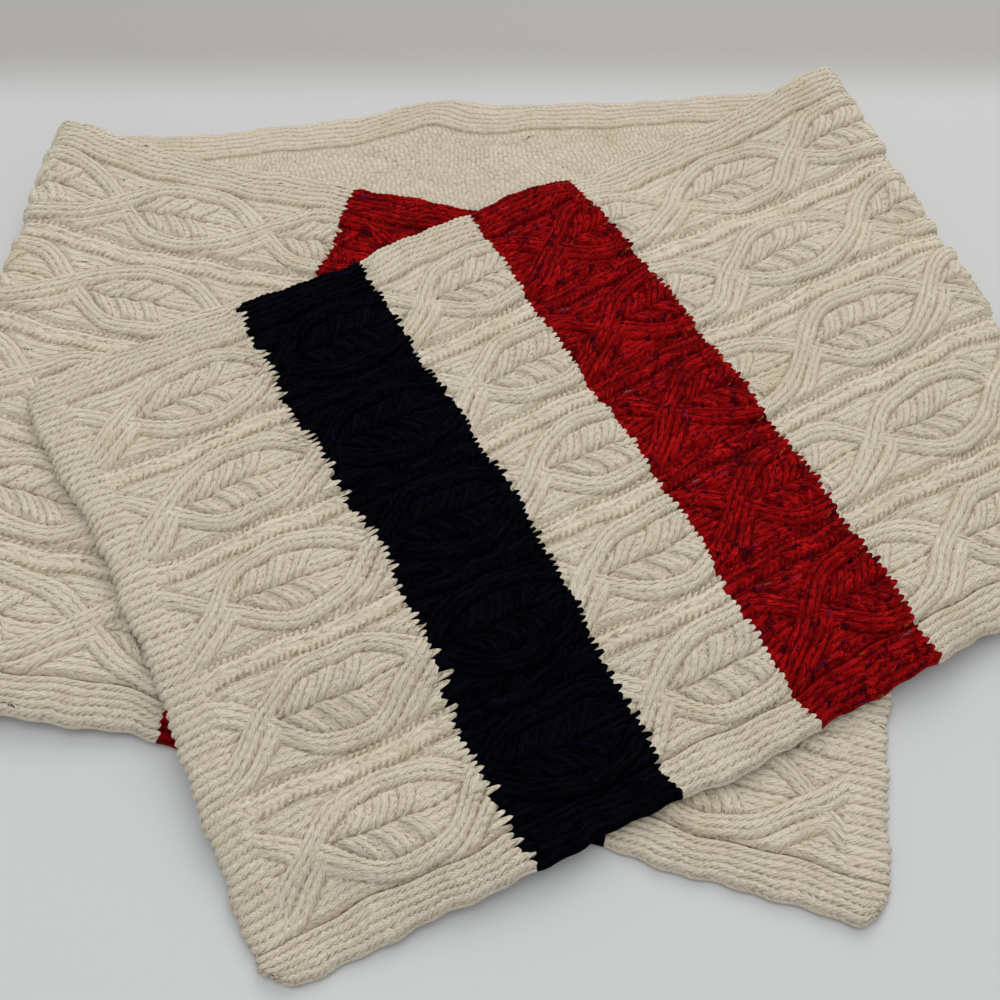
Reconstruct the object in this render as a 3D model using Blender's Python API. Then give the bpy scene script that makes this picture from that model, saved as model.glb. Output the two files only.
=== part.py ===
"""Aran cable-knit scarf, laid flat and folded in three, as closed solids.

The scarf is one straight strip. Its two ends are folded over its middle: the right-hand fold brings
the over stretch back across the top, the left-hand fold brings the under stretch between the two.
Every point is worked out from its place on the flat strip:
    s      distance along the strip, from the over stretch's hem
    t      distance across the strip, from its near edge
    depth  height above the plain inner face of the wall
Metres, +Z up. The origin is the middle of the bounding box, at the level the scarf rests on.
"""

import math

import bpy
import numpy as np

# --- the strip, as knitted -------------------------------------------------------------------
WIDTH = 0.330
LENGTH = 1.450
SEAM_GAP = 0.0003

# Colour joins, measured from either hem.
NAVY_START = 0.112
NAVY_END = 0.178
RED_START = 0.244
RED_END = 0.310

# --- the wall --------------------------------------------------------------------------------
BASE = 0.0045
RELIEF = 0.0035
FULL = BASE + RELIEF
LAYER = FULL + SEAM_GAP
EDGE_ROUND = 0.009  # the border over which the wall is rounded
EDGE_THIN = 0.35  # share of the wall that the rounding takes off its outer face at the very edge
EDGE_TUCK = 0.0016  # and what it takes off the inner face

# --- the cable pattern -----------------------------------------------------------------------
PANELS = 5
PANEL_FIRST = 0.0415  # the first panel's middle line, from the near edge
PANEL_PITCH = 0.0606
HEARTS_IN_REPEAT = 5
STRAND_SPREAD = 0.0195  # from a panel's middle line to a strand's, where the oval is widest
STRAND_HALF = 0.0066
STRAND_LEAN = 0.22  # how much wider a strand measures across the strip where it slants
OVAL_FULLNESS = 1.32
OVAL_SHOULDER = 0.25
DITCH_AT = 0.0245
DITCH_HALF = 0.0022
HEART_SLANT = 48.0  # chevrons that its arms fall behind, for each metre from the middle line
HEART_VEIN = 0.004
SOFT_STEP = 0.003
HEM_RIB = 0.018

# Where the strands cross: crossings counted along the strip, the first one being 0.
CROSSINGS = (
    # s, count
    (0.000, -0.410),
    (0.500, 6.000),
    (1.010, 12.000),
    (1.450, 17.366),
)

# Heights, as shares of the relief.
CHAIN_HEIGHT = 0.45
BAND_HEIGHT = 0.62
HEART_HEIGHT = 0.42
HEART_WAVE = 0.28
FILLER_HEIGHT = 0.50

# --- how it lies -----------------------------------------------------------------------------
OVER_CORNER = (-0.0914, -0.2606)
OVER_ANGLE = math.radians(27.0)
FOLD_RIGHT = (0.4275, 0.4900)  # s on the fold line, at the near and at the far edge
FOLD_LEFT = (1.0079, 0.9503)
STEP_MARGIN = 0.008  # how far a layer runs on level past the edge of the one below
STEP_RUN = 0.052  # and over what distance it then comes down
STEP_CLEAR = 0.0014
SOFT_JOIN = 0.002
SOFT_JOIN_FROM = 0.005
COVER_BORDER = 0.012
PLAIN_FROM_TURN = 0.55 * math.pi  # a fold's relief fades out from here, on its underside
PLAIN_BY_TURN = 0.90 * math.pi

# Lift of a folded layer above the one below it, along each fold line from its near end.
RIGHT_LIFT = (
    # along, lift
    (0.000, 0.0045),
    (0.080, 0.0035),
    (0.160, 0.0050),
    (0.240, 0.0075),
    (0.300, 0.0135),
    (0.340, 0.0170),
)
RIGHT_LIFT_REACH = 0.070
LEFT_LIFT = (
    (0.000, 0.0040),
    (0.120, 0.0030),
    (0.240, 0.0050),
    (0.340, 0.0160),
)
LEFT_LIFT_REACH = 0.050

# The wave in the far edge of the back stretch.
WAVE_AT = 0.728
WAVE_LENGTH = 0.030
WAVE_DEPTH = 0.050
WAVE_HEIGHT = 0.006

# Where the edges and the knitted courses leave the straight: metres along +t at the near and far
# edge, and metres along +s at the near edge, the middle and the far edge.
DRIFT = (
    # s, edge near, edge far, course near, course middle, course far
    (0.000, 0.0045, -0.0125, 0.000, 0.000, 0.002),
    (0.110, 0.0000, -0.0100, -0.003, -0.001, 0.000),
    (0.160, -0.0010, -0.0100, -0.002, 0.001, 0.001),
    (0.210, -0.0035, -0.0060, -0.001, 0.001, -0.001),
    (0.310, 0.0000, -0.0005, -0.002, 0.001, -0.003),
    (0.430, 0.0010, 0.0020, 0.000, 0.000, 0.000),
    (0.600, 0.0000, 0.0000, 0.000, 0.000, 0.000),
    (0.730, 0.0000, 0.0045, 0.000, 0.000, 0.000),
    (0.860, 0.0000, -0.0040, 0.000, 0.000, 0.000),
    (0.950, 0.0000, 0.0000, 0.000, 0.000, 0.000),
    (1.060, -0.0040, 0.0000, 0.003, 0.000, -0.002),
    (1.130, 0.0025, 0.0010, 0.009, 0.001, -0.005),
    (1.310, 0.0040, -0.0030, 0.003, 0.000, -0.002),
    (1.400, 0.0020, -0.0020, 0.001, -0.003, -0.004),
    (1.450, 0.0005, -0.0030, 0.004, -0.007, -0.010),
)

# --- the nodes: one for each stretch of one colour -------------------------------------------
CREAM = ("cream_wool", (0.60, 0.52, 0.40))
NAVY = ("navy_wool", (0.004, 0.004, 0.012))
RED = ("red_wool", (0.36, 0.008, 0.012))
FINE_ROW = 0.0083
HALF_HIDDEN_ROW = 0.011
PLAIN_ROW = 0.0165
BACK_ROW = 0.0225
PLAIN_COLUMN = 0.016
BACK_COLUMN = 0.032
INNER_CELL = 0.0155
SHOWN_MARGIN = 0.02  # share of the width by which the close columns run on under the layer above
ALL_SHOWS = (0.0, 1.0)
FAR_PART_SHOWS = (0.70, 1.0)
NEAR_PART_SHOWS = (0.0, 0.36)
NONE_SHOWS = (2.0, 2.0)
PIECES = (
    # node, s from, s to, wool, row length or fold, share of the width whose relief shows
    ("over_cream_end", 0.0, NAVY_START, CREAM, FINE_ROW, ALL_SHOWS),
    ("over_navy_band", NAVY_START, NAVY_END, NAVY, FINE_ROW, ALL_SHOWS),
    ("over_cream_mid", NAVY_END, RED_START, CREAM, FINE_ROW, ALL_SHOWS),
    ("over_red_band", RED_START, RED_END, RED, FINE_ROW, ALL_SHOWS),
    ("over_cream_body", RED_END, 0.392, CREAM, FINE_ROW, ALL_SHOWS),
    ("right_fold", 0.392, 0.520, CREAM, FOLD_RIGHT, ALL_SHOWS),
    ("back_stretch", 0.520, 0.925, CREAM, BACK_ROW, NONE_SHOWS),
    ("left_fold", 0.925, 1.032, CREAM, FOLD_LEFT, ALL_SHOWS),
    ("under_cream_body", 1.032, LENGTH - RED_END, CREAM, FINE_ROW, ALL_SHOWS),
    ("under_red_band", LENGTH - RED_END, LENGTH - RED_START, RED, HALF_HIDDEN_ROW, FAR_PART_SHOWS),
    ("under_cream_mid", LENGTH - RED_START, LENGTH - NAVY_END, CREAM, PLAIN_ROW, NONE_SHOWS),
    ("under_navy_band", LENGTH - NAVY_END, LENGTH - NAVY_START, NAVY, PLAIN_ROW, NONE_SHOWS),
    ("under_cream_end", LENGTH - NAVY_START, LENGTH, CREAM, FINE_ROW, NEAR_PART_SHOWS),
)

# Stations across the strip that the relief needs.
EDGE_COLUMNS = (0.0, 0.0022, 0.0080)
BAND_SIDE = 0.003
NEAR_BAND = PANEL_FIRST - DITCH_AT
FAR_BAND = PANEL_FIRST + (PANELS - 1) * PANEL_PITCH + DITCH_AT
PANEL_COLUMNS = (-DITCH_AT, -STRAND_SPREAD, -0.0135, -0.007, 0.0, 0.007, 0.0135, STRAND_SPREAD, DITCH_AT)
ROUNDED_LINE = (0.0040, 0.0085)  # where the inner face keeps a station to round its edge

# Rows of a fold node: the outer wing and the wing under it, and the bend between them.
BEND_REACH = 0.019
BEND_ROWS = 8
SHOWN_WING_ROWS = 5
HIDDEN_WING_ROWS = 3


# --- small helpers ---------------------------------------------------------------------------
def ease(x):
    """0 to 1, level at both ends."""
    x = np.clip(x, 0.0, 1.0)
    return x * x * (3.0 - 2.0 * x)


def read_table(rows, at, column):
    """A table's column, eased from row to row."""
    table = np.array(rows)
    keys = table[:, 0]
    values = table[:, column]
    at = np.clip(at, keys[0], keys[-1])
    k = np.clip(np.searchsorted(keys, at, side="right") - 1, 0, len(keys) - 2)
    share = ease((at - keys[k]) / (keys[k + 1] - keys[k]))
    return values[k] + share * (values[k + 1] - values[k])


def soft_max(a, b):
    """The higher of two levels, with a fillet where they meet above the floor."""
    higher = np.maximum(a, b)
    apart = np.abs(a - b)
    fillet = 0.5 * (np.sqrt(apart**2 + SOFT_JOIN**2) - apart)
    return higher + fillet * ease(higher / SOFT_JOIN_FROM)


# --- the flat layout -------------------------------------------------------------------------
ALONG = np.array((math.cos(OVER_ANGLE), math.sin(OVER_ANGLE)))
ACROSS = np.array((-math.sin(OVER_ANGLE), math.cos(OVER_ANGLE)))


def over_plan(s, t):
    """Where a point lies if the strip runs on straight from the over stretch."""
    return np.array(OVER_CORNER) + s[..., None] * ALONG + t[..., None] * ACROSS


class Fold:
    """A straight fold: its line, and the direction that points out of the folded cloth."""

    def __init__(self, near, far, outward_sign):
        self.near = near
        self.along = (far - near) / np.linalg.norm(far - near)
        self.out = outward_sign * np.array((self.along[1], -self.along[0]))

    def beyond(self, plan):
        return (plan - self.near) @ self.out

    def along_line(self, plan):
        return (plan - self.near) @ self.along

    def at(self, along, beyond):
        return self.near + along[..., None] * self.along + beyond[..., None] * self.out

    def mirrored(self, plan):
        return plan - 2.0 * self.beyond(plan)[..., None] * self.out


def fold_ends(stations):
    s = np.array(stations)
    t = np.array((0.0, WIDTH))
    return over_plan(s, t)


RIGHT = Fold(*fold_ends(FOLD_RIGHT), 1.0)
LEFT = Fold(*RIGHT.mirrored(fold_ends(FOLD_LEFT)), -1.0)
UNDER_HEM = LEFT.mirrored(RIGHT.mirrored(fold_ends((LENGTH, LENGTH))))
OVER_HEM = fold_ends((0.0, 0.0))


def outside(plan, corners):
    """Distance outside a convex outline, negative inside it."""
    middle = np.mean(corners, axis=0)
    distance = np.full(plan.shape[:-1], -np.inf)
    for a, b in zip(corners, corners[1:] + corners[:1]):
        edge = (b - a) / np.linalg.norm(b - a)
        normal = np.array((edge[1], -edge[0]))
        if (middle - a) @ normal > 0:
            normal = -normal
        distance = np.maximum(distance, (plan - a) @ normal)
    return distance


RIGHT_FAR = fold_ends(FOLD_RIGHT)[1]
LEFT_FAR = RIGHT.mirrored(fold_ends(FOLD_LEFT))[1]
OVER_OUTLINE = [OVER_HEM[0], RIGHT.near, RIGHT_FAR, OVER_HEM[1]]
BACK_OUTLINE = [RIGHT.near, RIGHT_FAR, LEFT_FAR, LEFT.near]
UNDER_OUTLINE = [LEFT.near, LEFT_FAR, UNDER_HEM[1], UNDER_HEM[0]]


# --- the levels of the layers ----------------------------------------------------------------
def resting_on(plan, outline):
    """1 on top of a layer, easing to 0 past its edge."""
    return 1.0 - ease((outside(plan, outline) - STEP_MARGIN) / STEP_RUN)


def fold_lift(plan, fold, rows, reach):
    lift = read_table(rows, fold.along_line(plan), 1)
    return lift * np.exp(-((np.minimum(fold.beyond(plan), 0.0) / reach) ** 2))


def under_level(plan):
    """Inner face of the under stretch."""
    return LAYER * resting_on(plan, BACK_OUTLINE) + fold_lift(plan, LEFT, LEFT_LIFT, LEFT_LIFT_REACH)


def slope_clearance(plan):
    """Extra room between layers where they step down together."""
    on_back = resting_on(plan, BACK_OUTLINE)
    return STEP_CLEAR * 4.0 * on_back * (1.0 - on_back)


def over_level(plan):
    """Inner face of the over stretch."""
    on_back = LAYER * resting_on(plan, BACK_OUTLINE)
    on_under = (under_level(plan) + LAYER + slope_clearance(plan)) * resting_on(plan, UNDER_OUTLINE)
    return soft_max(on_back, on_under) + fold_lift(plan, RIGHT, RIGHT_LIFT, RIGHT_LIFT_REACH)


def back_raise(s, t):
    """How far the back stretch stands off the floor in its edge wave."""
    rows = np.exp(-(((s - WAVE_AT) / WAVE_LENGTH) ** 2))
    return WAVE_HEIGHT * rows * ease((t - WIDTH + WAVE_DEPTH) / WAVE_DEPTH)


def bend_radius(fold, along, level):
    """Radius of a fold's middle surface, from the level of the layer that it turns up to."""
    radius = np.full(along.shape, LAYER / 2)
    for _ in range(5):
        top = level(fold.at(along, -math.pi * radius / 2))
        radius = (top - FULL) / 2 + FULL / 2
    return radius


# --- from the strip to its place -------------------------------------------------------------
def place(s, t, depth):
    """The place of points of the wall, and the turn of the fold they are in (0 up, pi down)."""
    edge = t / WIDTH
    shift = read_table(DRIFT, s, 1) * (1 - edge) + read_table(DRIFT, s, 2) * edge
    near, middle, far = (read_table(DRIFT, s, c) for c in (3, 4, 5))
    lead = near * (1 - edge) * (1 - 2 * edge) + 4 * middle * edge * (1 - edge) + far * edge * (2 * edge - 1)
    flat = over_plan(s + lead, t + shift)

    along = RIGHT.along_line(flat)
    beyond = RIGHT.beyond(flat)
    radius = bend_radius(RIGHT, along, over_level)
    turn_r = math.pi * np.clip(0.5 + beyond / (math.pi * radius), 0.0, 1.0)

    folded = RIGHT.mirrored(flat)
    along_l = LEFT.along_line(folded)
    beyond_l = LEFT.beyond(folded)
    radius_l = bend_radius(LEFT, along_l, under_level)
    turn_l = math.pi * np.clip(0.5 - beyond_l / (math.pi * radius_l), 0.0, 1.0)

    def at_height(plan, height):
        return np.concatenate((plan, height[..., None]), axis=-1)

    def on_bend(fold, along, radius, turn):
        inner = radius - FULL / 2
        reach = inner + depth
        plan = fold.at(along, -math.pi * radius / 2 + reach * np.sin(turn))
        return at_height(plan, FULL + inner + reach * np.cos(turn))

    def joined(turn, upper, bend, lower):
        turn = turn[..., None]
        return np.where(turn <= 0, upper, np.where(turn >= math.pi, lower, bend))

    unfolded = LEFT.mirrored(folded)
    over = at_height(flat, over_level(flat) + depth)
    back = at_height(folded, FULL - depth + back_raise(s, t))
    under = at_height(unfolded, under_level(unfolded) + depth)
    right_part = joined(turn_r, over, on_bend(RIGHT, along, radius, turn_r), back)
    left_part = joined(turn_l, under, on_bend(LEFT, along_l, radius_l, turn_l), back)
    is_right = s < LENGTH / 2
    return np.where(is_right[..., None], right_part, left_part), np.where(is_right, turn_r, turn_l)


# --- the relief ------------------------------------------------------------------------------
def ridge(distance, half_width):
    """A rounded ridge, 1 at its crest."""
    return np.sqrt(np.clip(1.0 - (distance / half_width) ** 2, 0.0, 1.0))


def cable(s, y):
    """Two strands that cross once in each repeat and open into an oval round a heart of chevrons."""
    stations, counts = np.array(CROSSINGS).T
    crossings = np.interp(s, stations, counts)
    opened = np.clip(OVAL_FULLNESS * np.sin(math.pi * (crossings % 1.0)), 0.0, 1.0)
    spread = STRAND_SPREAD * opened * (1.0 + OVAL_SHOULDER * (1.0 - opened))
    lean = 1.0 + STRAND_LEAN * (1.0 - opened)
    height = np.zeros(s.shape)
    for side in (-1.0, 1.0):
        height = np.maximum(height, ridge(y - side * spread, STRAND_HALF * lean))
    off_middle = np.abs(y)
    chevron = 0.5 + 0.5 * np.cos(2 * math.pi * (HEARTS_IN_REPEAT * crossings - HEART_SLANT * off_middle))
    heart = (HEART_HEIGHT + HEART_WAVE * chevron) * (0.75 + 0.25 * ease(off_middle / HEART_VEIN))
    heart *= ease((spread - 0.7 * STRAND_HALF - off_middle) / SOFT_STEP)
    filler = FILLER_HEIGHT * ease((off_middle - spread - 0.8 * STRAND_HALF) / SOFT_STEP)
    filler *= ease((DITCH_AT - off_middle) / SOFT_STEP)
    return np.maximum(height, np.maximum(heart, filler))


def relief(s, t):
    """0 to 1 over the whole width of the strip: panels, the chains between them, and edge bands."""
    panel = np.clip(np.round((t - PANEL_FIRST) / PANEL_PITCH), 0, PANELS - 1)
    y = t - PANEL_FIRST - panel * PANEL_PITCH
    is_band = (t < NEAR_BAND) | (t > FAR_BAND)
    rib = np.where(is_band, BAND_HEIGHT, CHAIN_HEIGHT) * ease((np.abs(y) - DITCH_AT) / DITCH_HALF)
    pattern = np.where(np.abs(y) > DITCH_AT, rib, cable(s, y))
    into = ease(np.minimum(s, LENGTH - s) / HEM_RIB)
    return BAND_HEIGHT * (1.0 - into) + pattern * into


def edge_rounding(s, t):
    """0 at the strip's edges and hems, rising to 1 within a rounded border."""
    from_edge = np.minimum(np.minimum(t, WIDTH - t), np.minimum(s, LENGTH - s))
    return np.sqrt(np.clip(1.0 - (1.0 - np.clip(from_edge / EDGE_ROUND, 0.0, 1.0)) ** 2, 0.0, 1.0))


def wall_depth(s, t):
    """Thickness of the wall: knitted relief where it shows, full and plain under other layers."""
    settled, turn = place(s, t, np.zeros(s.shape))
    plan = settled[..., :2]
    shows = 1.0 - ease((turn - PLAIN_FROM_TURN) / (PLAIN_BY_TURN - PLAIN_FROM_TURN))
    is_under = (s > LENGTH / 2) & (turn <= 0)
    covered = ease(-outside(plan, OVER_OUTLINE) / COVER_BORDER)
    shows = np.where(is_under, shows * (1.0 - covered), shows)
    depth = FULL - (1.0 - relief(s, t)) * RELIEF * shows
    return depth * (1.0 - EDGE_THIN * (1.0 - edge_rounding(s, t)))


# --- meshes ----------------------------------------------------------------------------------
def columns(shown, plain_column):
    """Stations across the strip: close together where the relief shows, far apart elsewhere."""
    stations = [*EDGE_COLUMNS, NEAR_BAND - BAND_SIDE]
    for panel in range(PANELS):
        middle = PANEL_FIRST + panel * PANEL_PITCH
        stations += [middle + y for y in PANEL_COLUMNS]
        if panel < PANELS - 1:
            stations.append(middle + PANEL_PITCH / 2)
    stations += [FAR_BAND + BAND_SIDE, *(WIDTH - t for t in reversed(EDGE_COLUMNS))]
    kept = []
    for t in stations:
        fine = shown[0] - SHOWN_MARGIN <= t / WIDTH <= shown[1] + SHOWN_MARGIN
        at_edge = min(t, WIDTH - t) < EDGE_ROUND
        if fine or at_edge or t - kept[-1] >= plain_column and WIDTH - t > plain_column / 2:
            kept.append(t)
    return np.array(kept)


def rows(start, end, spacing, t):
    """A grid of stations along the strip: rows straight across, or following a fold where there is one."""
    if isinstance(spacing, tuple):
        bend = spacing[0] + (spacing[1] - spacing[0]) * t / WIDTH
        over_side = end < LENGTH / 2
        before = SHOWN_WING_ROWS if over_side else HIDDEN_WING_ROWS
        after = HIDDEN_WING_ROWS if over_side else SHOWN_WING_ROWS
        first = np.linspace(np.full(t.shape, start + SEAM_GAP / 2), bend - BEND_REACH, before + 1)
        middle = np.linspace(bend - BEND_REACH, bend + BEND_REACH, BEND_ROWS + 1)
        last = np.linspace(bend + BEND_REACH, np.full(t.shape, end - SEAM_GAP / 2), after + 1)
        return np.concatenate((first[:-1], middle, last[1:]))
    count = max(2, round((end - start) / spacing))
    stations = list(np.linspace(start + SEAM_GAP / 2, end - SEAM_GAP / 2, count + 1))
    if start == 0.0:
        stations[0:1] = EDGE_COLUMNS[:2]
    if end == LENGTH:
        stations[-1:] = [LENGTH - edge for edge in reversed(EDGE_COLUMNS[:2])]
    return np.repeat(np.array(stations)[:, None], len(t), axis=1)


def thinned(stations, limit):
    """Which stations the plain inner face keeps: sparse ones, both ends, the inner line of a rounded edge."""
    kept = [0]
    for k in range(1, len(stations) - 1):
        rounds_edge = ROUNDED_LINE[0] < min(stations[k], limit - stations[k]) < ROUNDED_LINE[1]
        far_enough = stations[k] - stations[kept[-1]] >= INNER_CELL
        if rounds_edge or far_enough and stations[-1] - stations[k] >= INNER_CELL / 2:
            kept.append(k)
    return kept + [len(stations) - 1]


def grid_faces(points, offset, upward):
    """Triangles over a grid of points, each cell cut along its more level diagonal."""
    count_s, count_t = points.shape[:2]
    faces = []
    for i in range(count_s - 1):
        for j in range(count_t - 1):
            a, b = offset + i * count_t + j, offset + (i + 1) * count_t + j
            c, d = b + 1, a + 1
            rise_ac = abs(points[i, j, 2] - points[i + 1, j + 1, 2])
            rise_bd = abs(points[i + 1, j, 2] - points[i, j + 1, 2])
            cell = ((a, b, c), (a, c, d)) if rise_ac <= rise_bd else ((a, b, d), (b, c, d))
            faces += cell if upward else [face[::-1] for face in cell]
    return faces


def zip_faces(fine, coarse):
    """Triangles between two runs of (station, index) along one side of the wall."""
    faces = []
    i = j = 0
    while i < len(fine) - 1 or j < len(coarse) - 1:
        next_fine = fine[i + 1][0] if i < len(fine) - 1 else math.inf
        next_coarse = coarse[j + 1][0] if j < len(coarse) - 1 else math.inf
        if next_fine <= next_coarse:
            faces.append((fine[i][1], coarse[j][1], fine[i + 1][1]))
            i += 1
        else:
            faces.append((fine[i][1], coarse[j][1], coarse[j + 1][1]))
            j += 1
    return faces


def side_runs(s, t, offset):
    """The four border runs of a grid: start, end, near and far side."""
    count_s, count_t = s.shape
    index = offset + np.arange(count_s * count_t).reshape(count_s, count_t)
    return (
        list(zip(t[0], index[0])),
        list(zip(t[-1], index[-1])),
        list(zip(s[:, 0], index[:, 0])),
        list(zip(s[:, -1], index[:, -1])),
    )


def make_wall(name, start, end, wool, row, shown):
    across = columns(shown, BACK_COLUMN if row == BACK_ROW else PLAIN_COLUMN)
    s = rows(start, end, row, across)
    t = np.repeat(across[None, :], len(s), axis=0)
    outer, _ = place(s, t, wall_depth(s, t))
    kept = np.ix_(thinned(s[:, len(across) // 2], LENGTH), thinned(across, WIDTH))
    inner, _ = place(s[kept], t[kept], EDGE_TUCK * (1.0 - edge_rounding(s[kept], t[kept])))

    offset = outer.shape[0] * outer.shape[1]
    faces = grid_faces(outer, 0, True) + grid_faces(inner, offset, False)
    fine_runs = side_runs(s, t, 0)
    coarse_runs = side_runs(s[kept], t[kept], offset)
    for fine, coarse, turned in zip(fine_runs, coarse_runs, (True, False, False, True)):
        side = zip_faces(fine, coarse)
        faces += [face[::-1] for face in side] if turned else side

    mesh = bpy.data.meshes.new(name)
    mesh.from_pydata(np.concatenate((outer.reshape(-1, 3), inner.reshape(-1, 3))).tolist(), [], faces)
    mesh.validate()
    mesh.shade_smooth()
    mesh.set_sharp_from_angle(angle=math.radians(60))
    mesh.materials.append(wool)
    return bpy.data.objects.new(name, mesh)


def wool_material(name, colour):
    material = bpy.data.materials.new(name)
    material.use_nodes = True
    shader = material.node_tree.nodes["Principled BSDF"]
    shader.inputs["Base Color"].default_value = (*colour, 1.0)
    shader.inputs["Roughness"].default_value = 0.95
    shader.inputs["Metallic"].default_value = 0.0
    return material


def main():
    for old in list(bpy.data.objects):
        bpy.data.objects.remove(old)
    scarf = bpy.data.collections.new("knit_scarf")
    bpy.context.scene.collection.children.link(scarf)
    wools = {name: wool_material(name, colour) for name, colour in (CREAM, NAVY, RED)}
    for name, start, end, wool, row, shown in PIECES:
        scarf.objects.link(make_wall(name, start, end, wools[wool[0]], row, shown))


main()
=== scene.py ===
"""Aran cable-knit scarf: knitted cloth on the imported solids.

Every solid is replaced by a finer wall of the same strip. Each point is worked out from its place on
the flat strip, as in the solids:
    s      distance along the strip, from the over stretch's hem
    t      distance across the strip, from its near edge
    depth  height above the plain inner face of the wall
The right side carries the cables, ribs and single stitches, the wrong side their purl back. Metres.
"""

import math
from functools import partialmethod

import bpy
import numpy as np
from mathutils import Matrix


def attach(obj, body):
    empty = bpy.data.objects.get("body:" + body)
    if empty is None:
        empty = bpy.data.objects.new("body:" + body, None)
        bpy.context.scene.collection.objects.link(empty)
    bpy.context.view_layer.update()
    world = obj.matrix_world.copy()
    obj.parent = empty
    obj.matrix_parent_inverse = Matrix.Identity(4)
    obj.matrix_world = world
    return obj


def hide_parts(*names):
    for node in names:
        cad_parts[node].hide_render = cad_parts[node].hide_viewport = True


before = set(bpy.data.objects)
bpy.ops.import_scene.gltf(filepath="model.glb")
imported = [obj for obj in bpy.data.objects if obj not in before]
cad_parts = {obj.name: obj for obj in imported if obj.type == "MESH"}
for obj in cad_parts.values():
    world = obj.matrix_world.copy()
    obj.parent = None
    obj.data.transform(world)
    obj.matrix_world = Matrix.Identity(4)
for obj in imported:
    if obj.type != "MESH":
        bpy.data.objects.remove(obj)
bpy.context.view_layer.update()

# --- the strip, as in the solids
WIDTH = 0.330
LENGTH = 1.450
NAVY_START = 0.112
NAVY_END = 0.178
RED_START = 0.244
RED_END = 0.310
BODY_END = 0.520  # the right fold's solid ends here, on the back
BACK_END = 0.925

BASE = 0.0045
RELIEF = 0.0035
FULL = BASE + RELIEF
LAYER = FULL + 0.0003
EDGE_ROUND = 0.009
EDGE_THIN = 0.35
EDGE_TUCK = 0.0016
VALLEY = 0.0034  # the wall's depth at the bottom of the relief, a little deeper than the solid's
CORNER_ROUND = 0.014  # how far from a corner the cloth is rounded, and how far it is drawn in
CORNER_DRAWN = 0.0045
SCALLOP = 0.0006  # how far the stitches' ends stand out of the hems, and a share of it out of the edges
SCALLOP_SHARE = 0.6
EDGE_REACH = 0.020  # how far in from an edge or a hem the cloth wanders with it
HEM_REACH = 0.012
EDGE_WANDER = (
    # rise, radians a metre, share of the seed
    (0.0007, 71.0, 3.0), (0.0005, 167.0, 5.0), (0.0004, 389.0, 1.0),
)

OVER_CORNER = (-0.0914, -0.2606)
OVER_ANGLE = math.radians(27.0)
FOLD_RIGHT = (0.4275, 0.4900)
FOLD_LEFT = (1.0079, 0.9503)
STEP_MARGIN = 0.008
STEP_RUN = 0.052
STEP_CLEAR = 0.0014
SOFT_JOIN = 0.002
SOFT_JOIN_FROM = 0.005
BEND_ROUNDS = 5  # rounds that settle a bend's radius

RIGHT_LIFT = (
    # along, lift
    (0.0, 0.0045), (0.08, 0.0035), (0.16, 0.005), (0.24, 0.0075), (0.3, 0.0135), (0.34, 0.017),
)
RIGHT_LIFT_REACH = 0.070
LEFT_LIFT = (
    (0.0, 0.004), (0.12, 0.003), (0.24, 0.005), (0.34, 0.016),
)
LEFT_LIFT_REACH = 0.050

WAVE_AT = 0.728
WAVE_LENGTH = 0.030
WAVE_DEPTH = 0.050
WAVE_HEIGHT = 0.006

DRIFT = (
    # s, edge near, edge far, course near, course middle, course far
    (0.000, 0.0045, -0.0125, 0.000, 0.000, 0.002),
    (0.110, 0.0000, -0.0100, -0.003, -0.001, 0.000),
    (0.160, -0.0010, -0.0100, -0.002, 0.001, 0.001),
    (0.210, -0.0035, -0.0060, -0.001, 0.001, -0.001),
    (0.310, 0.0000, -0.0005, -0.002, 0.001, -0.003),
    (0.430, 0.0010, 0.0020, 0.000, 0.000, 0.000),
    (0.600, 0.0000, 0.0000, 0.000, 0.000, 0.000),
    (0.730, 0.0000, 0.0045, 0.000, 0.000, 0.000),
    (0.860, 0.0000, -0.0040, 0.000, 0.000, 0.000),
    (0.950, 0.0000, 0.0000, 0.000, 0.000, 0.000),
    (1.060, -0.0040, 0.0000, 0.003, 0.000, -0.002),
    (1.130, 0.0025, 0.0010, 0.009, 0.001, -0.005),
    (1.310, 0.0080, -0.0030, 0.003, 0.000, -0.002),
    (1.400, 0.0020, -0.0020, 0.001, -0.003, -0.004),
    (1.450, 0.0005, -0.0030, 0.004, -0.007, -0.010),
)

# How far the over stretch's hem wanders off its straight line, along the strip.
HEM_COURSE = (
    # t, shift
    (0.0, 0.0), (0.07, 0.0), (0.12, 0.0034), (0.152, 0.0038), (0.178, 0.0022), (0.205, 0.0038),
    (0.23, 0.002), (0.25, -0.0012), (0.275, -0.0042), (0.33, -0.007),
)
HEM_COURSE_REACH = 0.095
# How far the far band's inner line wanders on the wrong side, where the back's wave pulls at it.
BACK_BAND = (
    # s, shift
    (0.66, 0.0), (0.705, -0.0034), (0.732, 0.0026), (0.775, -0.0012), (0.83, 0.0),
)
BACK_BAND_REACH = 0.012

# --- the cable pattern
PANELS = 5
PANEL_FIRST = 0.0415
PANEL_PITCH = 0.0606
DITCH_AT = 0.0245
NEAR_BAND = PANEL_FIRST - DITCH_AT
FAR_BAND = PANEL_FIRST + (PANELS - 1) * PANEL_PITCH + DITCH_AT
PANEL_BORDER = (0.0006, 0.0012)  # how far before its ditches a panel's ground ends, and how softly
STEADY_EDGE = 0.010  # how far in from an edge the knitting's unevenness dies out
CROSSINGS = (
    # s, count
    (0.0, -0.41), (0.5, 6.0), (1.01, 12.0), (1.45, 17.366),
)
REPEAT = 0.078
PANEL_LAG = 0.02  # how far, as a share of the repeat, crossings of different panels lie off each other

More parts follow.
